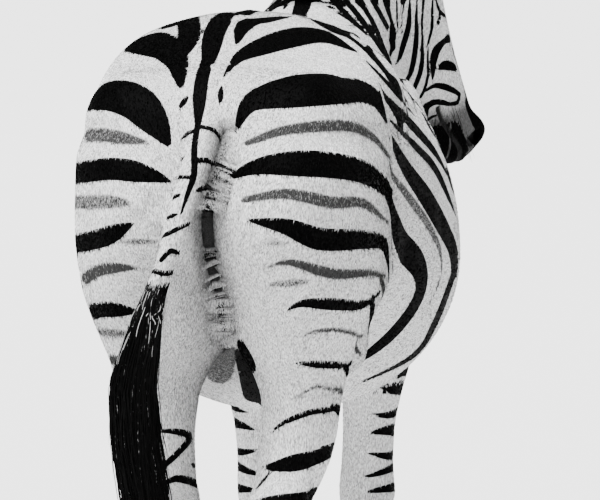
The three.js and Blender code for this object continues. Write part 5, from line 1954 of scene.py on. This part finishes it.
def make_fine_hairs(name, hairs, thick, material_name):
    """Bent hairs, each given by its start, way, bend and length."""
    starts, ways, bends, lengths = (np.array(column) for column in zip(*hairs))
    rise = np.linspace(0, 1, FINE_HAIR_RINGS)
    paths = starts[:, None] + ways[:, None] * (rise[None, :] * lengths[:, None])[..., None] \
        + bends[:, None] * (rise[None, :] ** 2 * lengths[:, None])[..., None]
    taper = np.sqrt(rise[::-1])[None] * np.full(len(starts), thick)[:, None]
    return make_strands(name, paths, taper, np.zeros(len(paths)),
                        np.full(paths.shape[:2], 0.01),
                        hair_material(material_name, BLACK_HAIR, grey_tone(0.3), 0.9))


def make_lashes():
    """Lashes along the rim of each upper lid."""
    rng = np.random.default_rng(71)
    hairs = []
    for hand in (-1, 1):
        middle, look, corner, over = eye_frame(hand)
        for _ in range(LASHES):
            c = rng.uniform(-16, 15)
            o = UPPER_LID[0] * math.sqrt(max(1 - (c / LID_HALF) ** 2, 0))
            f = math.sqrt(max((EYE_RADIUS / MM + 1.6) ** 2 - c * c - o * o, 0))
            hairs.append((middle + (corner * c + over * o + look * f) * MM,
                          unit(look + over * 0.10 + corner * (c / 28)), -over * 0.35,
                          rng.uniform(0.013, 0.021)))
    return make_fine_hairs("lashes", hairs, 0.00035, "lash_hair")


def make_whiskers(carry):
    """Whiskers on the lips and the chin."""
    rng = np.random.default_rng(72)
    hairs = []
    spots = [(rng.uniform(415, 505), rng.uniform(-62, 62), rng.uniform(-128, -62))
             for _ in range(WHISKERS)]
    for along, side, up in spots:
        seat = carry.nearest(on_head(along, side, up))
        away = unit(seat - on_head(along - 30, side * 0.3, -75))
        hairs.append((seat - away * 0.002,
                      unit(away + ALONG * 0.5 - CROWN * 0.5 + rng.normal(0, 0.15, 3)),
                      np.array([0, 0, -0.4]), rng.uniform(0.012, 0.034)))
    return make_fine_hairs("whiskers", hairs, 0.0004, "whisker_hair")


def dress_skin(skin, lines):
    """Gives the skin its markings, painted shade between the thighs and under the belly, and the
    maps that its material and its coat read.
    """
    mesh = skin.data
    p = place_in_animal(read(mesh.vertices, "co", 3))
    n = read(mesh.vertices, "normal", 3) * (-1, -1, 1)
    for name, values in zip(("black", "grey", "dark"), markings(p, lines)):
        set_attribute(mesh, name, values)
    lie = lie_of_coat(p, n)
    set_attribute(mesh, "lie_down", lie[:, 2] ** 2)
    # painted shade under the belly between the hind legs
    groin = hill(p[:, 0], 0, 0.09) * ease(p[:, 1], -0.10, 0.02) \
        * ease(p[:, 1], 0.34, 0.20) * ease(p[:, 2], 0.84, 0.76)
    # painted shade beside the fold between the thighs, wider on the left, and over the inner left
    # thigh
    beside = -distance_to_line(p, CLEFT_LINE)
    fold = np.array(CLEFT_LINE[-1]) / 100
    aside = p @ REAR_RIGHT - np.interp(-p[:, 2], -fold[:, 1], fold[:, 0])
    shade = np.where(aside < 0, ease(beside, 0.034, -0.002),
                     ease(beside, 0.016, -0.002))
    inner_thigh_shade = hill(aside, -0.030, 0.045) * ease(p[:, 2], 0.97, 0.88)
    shade = np.maximum(shade, 0.50 * inner_thigh_shade) * ease(p[:, 1], 0.60, 0.50)
    # the muzzle's own darker tone
    muzzle = ease(head_axes(p)[0], 0.385, 0.44) * (head_share(p) > 0.5)
    # painted shade, or the muzzle's tone where that is darker, with the painted shade under the
    # belly added on top
    set_attribute(mesh, "shade_and_muzzle", np.clip(np.maximum(0.85 * shade, 0.93 * muzzle) + 0.5 * groin,
                                        0, 1))
    # bare skin at the nostrils, eyes and lips, and a bare dark band in the fold between the thighs
    # that is painted shade
    bare_skin_or_cleft_shade = ease(painted_cleft_shade(p), -0.0015, 0.0005)
    along, _, up = (v / MM for v in head_axes(p))
    for hand in (-1, 1):
        off = p - on_head(NOSTRIL[0] - 4, hand * (NOSTRIL[1] - 6), NOSTRIL[2])
        bare_skin_or_cleft_shade = np.maximum(bare_skin_or_cleft_shade, ease(np.linalg.norm(off, axis=1), 0.017, 0.010))
        reach = np.linalg.norm(p - eye_frame(hand)[0], axis=1)
        bare_skin_or_cleft_shade = np.maximum(bare_skin_or_cleft_shade, ease(reach, EYE_RADIUS + 0.0026, EYE_RADIUS + 0.0016))
    lip = np.abs(up - MOUTH_UP(along * MM) / MM)
    bare_skin_or_cleft_shade = np.maximum(bare_skin_or_cleft_shade, ease(lip, 5, 2) * (along > 402) * (head_share(p) > 0.5))
    set_attribute(mesh, "bare_skin_or_cleft_shade", bare_skin_or_cleft_shade)
    hocks = ease(p[:, 1], 0.0, -0.10) * hill(p[:, 2], 0.725, 0.040)
    scar = np.exp(-((p - SCAR) ** 2).sum(1) / 0.05 ** 2)
    set_attribute(mesh, "creased", np.clip(hocks + 0.6 * scar, 0, 1))
    select_all(skin)
    edit(skin, (bpy.ops.mesh.select_all, {"action": "SELECT"}),
         (bpy.ops.uv.smart_project, {"angle_limit": math.radians(66), "island_margin": 0.002}))
    mesh.uv_layers[0].name = "OFBake"
    mesh.materials.clear()
    mesh.materials.append(skin_material())
    mesh.polygons.foreach_set("material_index", np.zeros(len(mesh.polygons), np.int32))
# ------------------------------------------------------------------ stage

CAMERA_TURN = math.radians(9.5)
CAMERA_DISTANCE = 6.0
CAMERA_HEIGHT = 1.33
CAMERA_LENS = 227.5
CAMERA_PITCH = math.radians(3.9)
CAMERA_PAN = math.radians(1.0)
KEY_FROM = (0.9, 1.5, 3.4)
KEY_SOFTNESS = 30


def make_stage(settings):
    """The floor, the camera, the light all round and the key light."""
    bpy.ops.mesh.primitive_plane_add(size=4000, location=(0, 0, 0))
    floor = bpy.context.active_object
    floor.name = "floor"
    floor.data.materials.append(floor_material())
    spot = place_in_row([CAMERA_DISTANCE * math.sin(CAMERA_TURN),
                         -CAMERA_DISTANCE * math.cos(CAMERA_TURN), CAMERA_HEIGHT])
    data = bpy.data.cameras.new("camera")
    data.lens = CAMERA_LENS
    data.sensor_width = 36
    data.clip_end = 10000
    camera = bpy.data.objects.new("camera", data)
    bpy.context.scene.collection.objects.link(camera)
    camera.location = spot
    camera.rotation_euler = (math.pi / 2 - CAMERA_PITCH, 0,
                             math.pi + CAMERA_TURN - CAMERA_PAN)
    bpy.context.scene.camera = camera
    world = bpy.data.worlds.new("studio")
    bpy.context.scene.world = world
    world.use_nodes = True
    back = world.node_tree.nodes["Background"]
    back.inputs["Color"].default_value = (1, 1, 1, 1)
    back.inputs["Strength"].default_value = settings.daylight
    light = bpy.data.lights.new("key", "SUN")
    light.energy = settings.key
    light.angle = math.radians(KEY_SOFTNESS)
    lamp = bpy.data.objects.new("key", light)
    bpy.context.scene.collection.objects.link(lamp)
    lamp.location = KEY_FROM
    lamp.rotation_euler = Vector(KEY_FROM).to_track_quat("Z", "Y").to_euler()


# ------------------------------------------------------------------ add-on


def colour_property(name, description, value):
    return FloatVectorProperty(name=name, description=description, size=4, min=0, max=1,
                               subtype="COLOR", default=value)


class ZebraBodySettings(bpy.types.PropertyGroup):
    voxel: FloatProperty(name="Skin voxel", description="Grid that joins the flesh into one skin",
                         default=0.0136, min=0.008, max=0.03, unit="LENGTH")
    seed: IntProperty(name="Seed", description="Start of every random choice", default=5, min=0)


class ZebraCoatSettings(bpy.types.PropertyGroup):
    tufts: IntProperty(name="Tufts", description="Tufts in each piece of the coat",
                       default=49000, min=1000, max=49900)
    length: FloatProperty(name="Tuft length", description="Length of a tuft on the body",
                          default=0.0052, min=0.001, max=0.03, unit="LENGTH")
    width: FloatProperty(name="Tuft width", description="Width of a tuft on the body",
                         default=0.0015, min=0.0005, max=0.01, unit="LENGTH")
    white_hair: colour_property("White hair", "Tips of the pale hair", WHITE_HAIR)
    shade_hair: colour_property("Shaded hair", "Roots of the pale hair", SHADE_HAIR)
    dark_hair: colour_property("Shadow stripes", "Dark hairs of the grey stripes", DARK_HAIR)
    black_hair: colour_property("Black hair", "The black stripes", BLACK_HAIR)
    # painted sheen in the black stripes
    black_sheen: colour_property("Black sheen", "Paler hairs in the black", BLACK_SHEEN)


class ZebraHairSettings(bpy.types.PropertyGroup):
    locks: IntProperty(name="Mane locks", description="Locks in the mane",
                       default=5200, min=100, max=6000)
    strands: IntProperty(name="Tail strands", description="Strands in the tail",
                         default=3400, min=100, max=5000)


class ZebraStageSettings(bpy.types.PropertyGroup):
    daylight: FloatProperty(name="Daylight", description="Strength of the light all round",
                            default=0.36, min=0)
    key: FloatProperty(name="Key light", description="Strength of the soft light from above",
                       default=12.5, min=0)


def settings_of(name):
    return getattr(bpy.context.scene, "zebra_" + name)


def hand_over(piece, slot, *nodes):
    """Sets a finished piece on the body and hides the plain solids that it takes the place of; its
    slot is not used.
    """
    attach(piece, "root")
    if nodes:
        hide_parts(*nodes)


def marked_skin():
    """The skin made before, as a surface to carry marks onto, and the marks."""
    carrier = Skin(bpy.data.objects["skin"])
    return carrier, gather_marks(carrier, settings_of("body").seed + 6)


class ZEBRA_OT_skin(bpy.types.Operator):
    """Joins the flesh into one skin and carries the markings onto it"""
    bl_idname = "zebra.skin"
    bl_label = "Skin and markings"

    def execute(self, context):
        skin = make_skin(settings_of("body"))
        dress_skin(skin, marked_skin()[1])
        hand_over(skin, "coat", *FLESH, *EARS)
        return {"FINISHED"}


class ZEBRA_OT_coat(bpy.types.Operator):
    """Grows the short coat in tufts over the skin"""
    bl_idname = "zebra.coat"
    bl_label = "Coat"

    def execute(self, context):
        for piece in make_coat(bpy.data.objects["skin"], marked_skin()[1], settings_of("coat"),
                               settings_of("body").seed):
            hand_over(piece, "coat")
        return {"FINISHED"}


class ZEBRA_OT_mane(bpy.types.Operator):
    """Grows the standing mane along the crest"""
    bl_idname = "zebra.mane"
    bl_label = "Mane"

    def execute(self, context):
        carrier, lines = marked_skin()
        mane = make_mane(carrier, lines, settings_of("hair").locks, settings_of("body").seed)
        hand_over(mane, "long_hair", "mane")
        return {"FINISHED"}


class ZEBRA_OT_tail(bpy.types.Operator):
    """Grows the long hair of the tail"""
    bl_idname = "zebra.tail"
    bl_label = "Tail"

    def execute(self, context):
        tail = make_tail(settings_of("hair").strands, settings_of("body").seed)
        hand_over(tail, "long_hair", "tail_tuft")
        return {"FINISHED"}


class ZEBRA_OT_eyes(bpy.types.Operator):
    """Makes both eyes"""
    bl_idname = "zebra.eyes"
    bl_label = "Eyes"

    def execute(self, context):
        for hand, node in ((-1, "eye_left"), (1, "eye_right")):
            hand_over(make_eye(hand), "eye", node)
        return {"FINISHED"}


class ZEBRA_OT_hooves(bpy.types.Operator):
    """Makes the four hooves"""
    bl_idname = "zebra.hooves"
    bl_label = "Hooves"

    def execute(self, context):
        horn = hoof_material()
        for leg in STANCE:
            node = "hoof_" + leg
            hand_over(make_hoof(node, leg, horn), "hoof", node)
        return {"FINISHED"}


class ZEBRA_OT_fine_hairs(bpy.types.Operator):
    """Adds the lashes and the whiskers"""
    bl_idname = "zebra.fine_hairs"
    bl_label = "Lashes and whiskers"

    def execute(self, context):
        hand_over(make_lashes(), "long_hair")
        hand_over(make_whiskers(Skin(bpy.data.objects["skin"])), "long_hair")
        return {"FINISHED"}


class ZEBRA_OT_stage(bpy.types.Operator):
    """Sets out the floor, the light and the camera"""
    bl_idname = "zebra.stage"
    bl_label = "Stage"

    def execute(self, context):
        make_stage(settings_of("stage"))
        return {"FINISHED"}


class ZEBRA_PT_build(bpy.types.Panel):
    """Lists the zebra's settings and steps"""
    bl_label = "Zebra"
    bl_space_type = "VIEW_3D"
    bl_region_type = "UI"
    bl_category = "Zebra"

    def draw(self, context):
        for name, group in GROUPS.items():
            box = self.layout.box()
            for field in group.__annotations__:
                box.prop(settings_of(name), field)
        for step in STEPS:
            self.layout.operator(step.bl_idname)


GROUPS = {"body": ZebraBodySettings, "coat": ZebraCoatSettings, "hair": ZebraHairSettings,
          "stage": ZebraStageSettings}
STEPS = (ZEBRA_OT_skin, ZEBRA_OT_coat, ZEBRA_OT_mane, ZEBRA_OT_tail, ZEBRA_OT_eyes,
         ZEBRA_OT_hooves, ZEBRA_OT_fine_hairs, ZEBRA_OT_stage)
CLASSES = tuple(GROUPS.values()) + STEPS + (ZEBRA_PT_build,)


def register():
    for cls in CLASSES:
        bpy.utils.register_class(cls)
    for name, group in GROUPS.items():
        setattr(bpy.types.Scene, "zebra_" + name, PointerProperty(type=group))


def unregister():
    for name in GROUPS:
        delattr(bpy.types.Scene, "zebra_" + name)
    for cls in reversed(CLASSES):
        bpy.utils.unregister_class(cls)


def main():
    register()
    for step in STEPS:
        group, name = step.bl_idname.split(".")
        getattr(getattr(bpy.ops, group), name)()


if __name__ == "__main__":
    main()
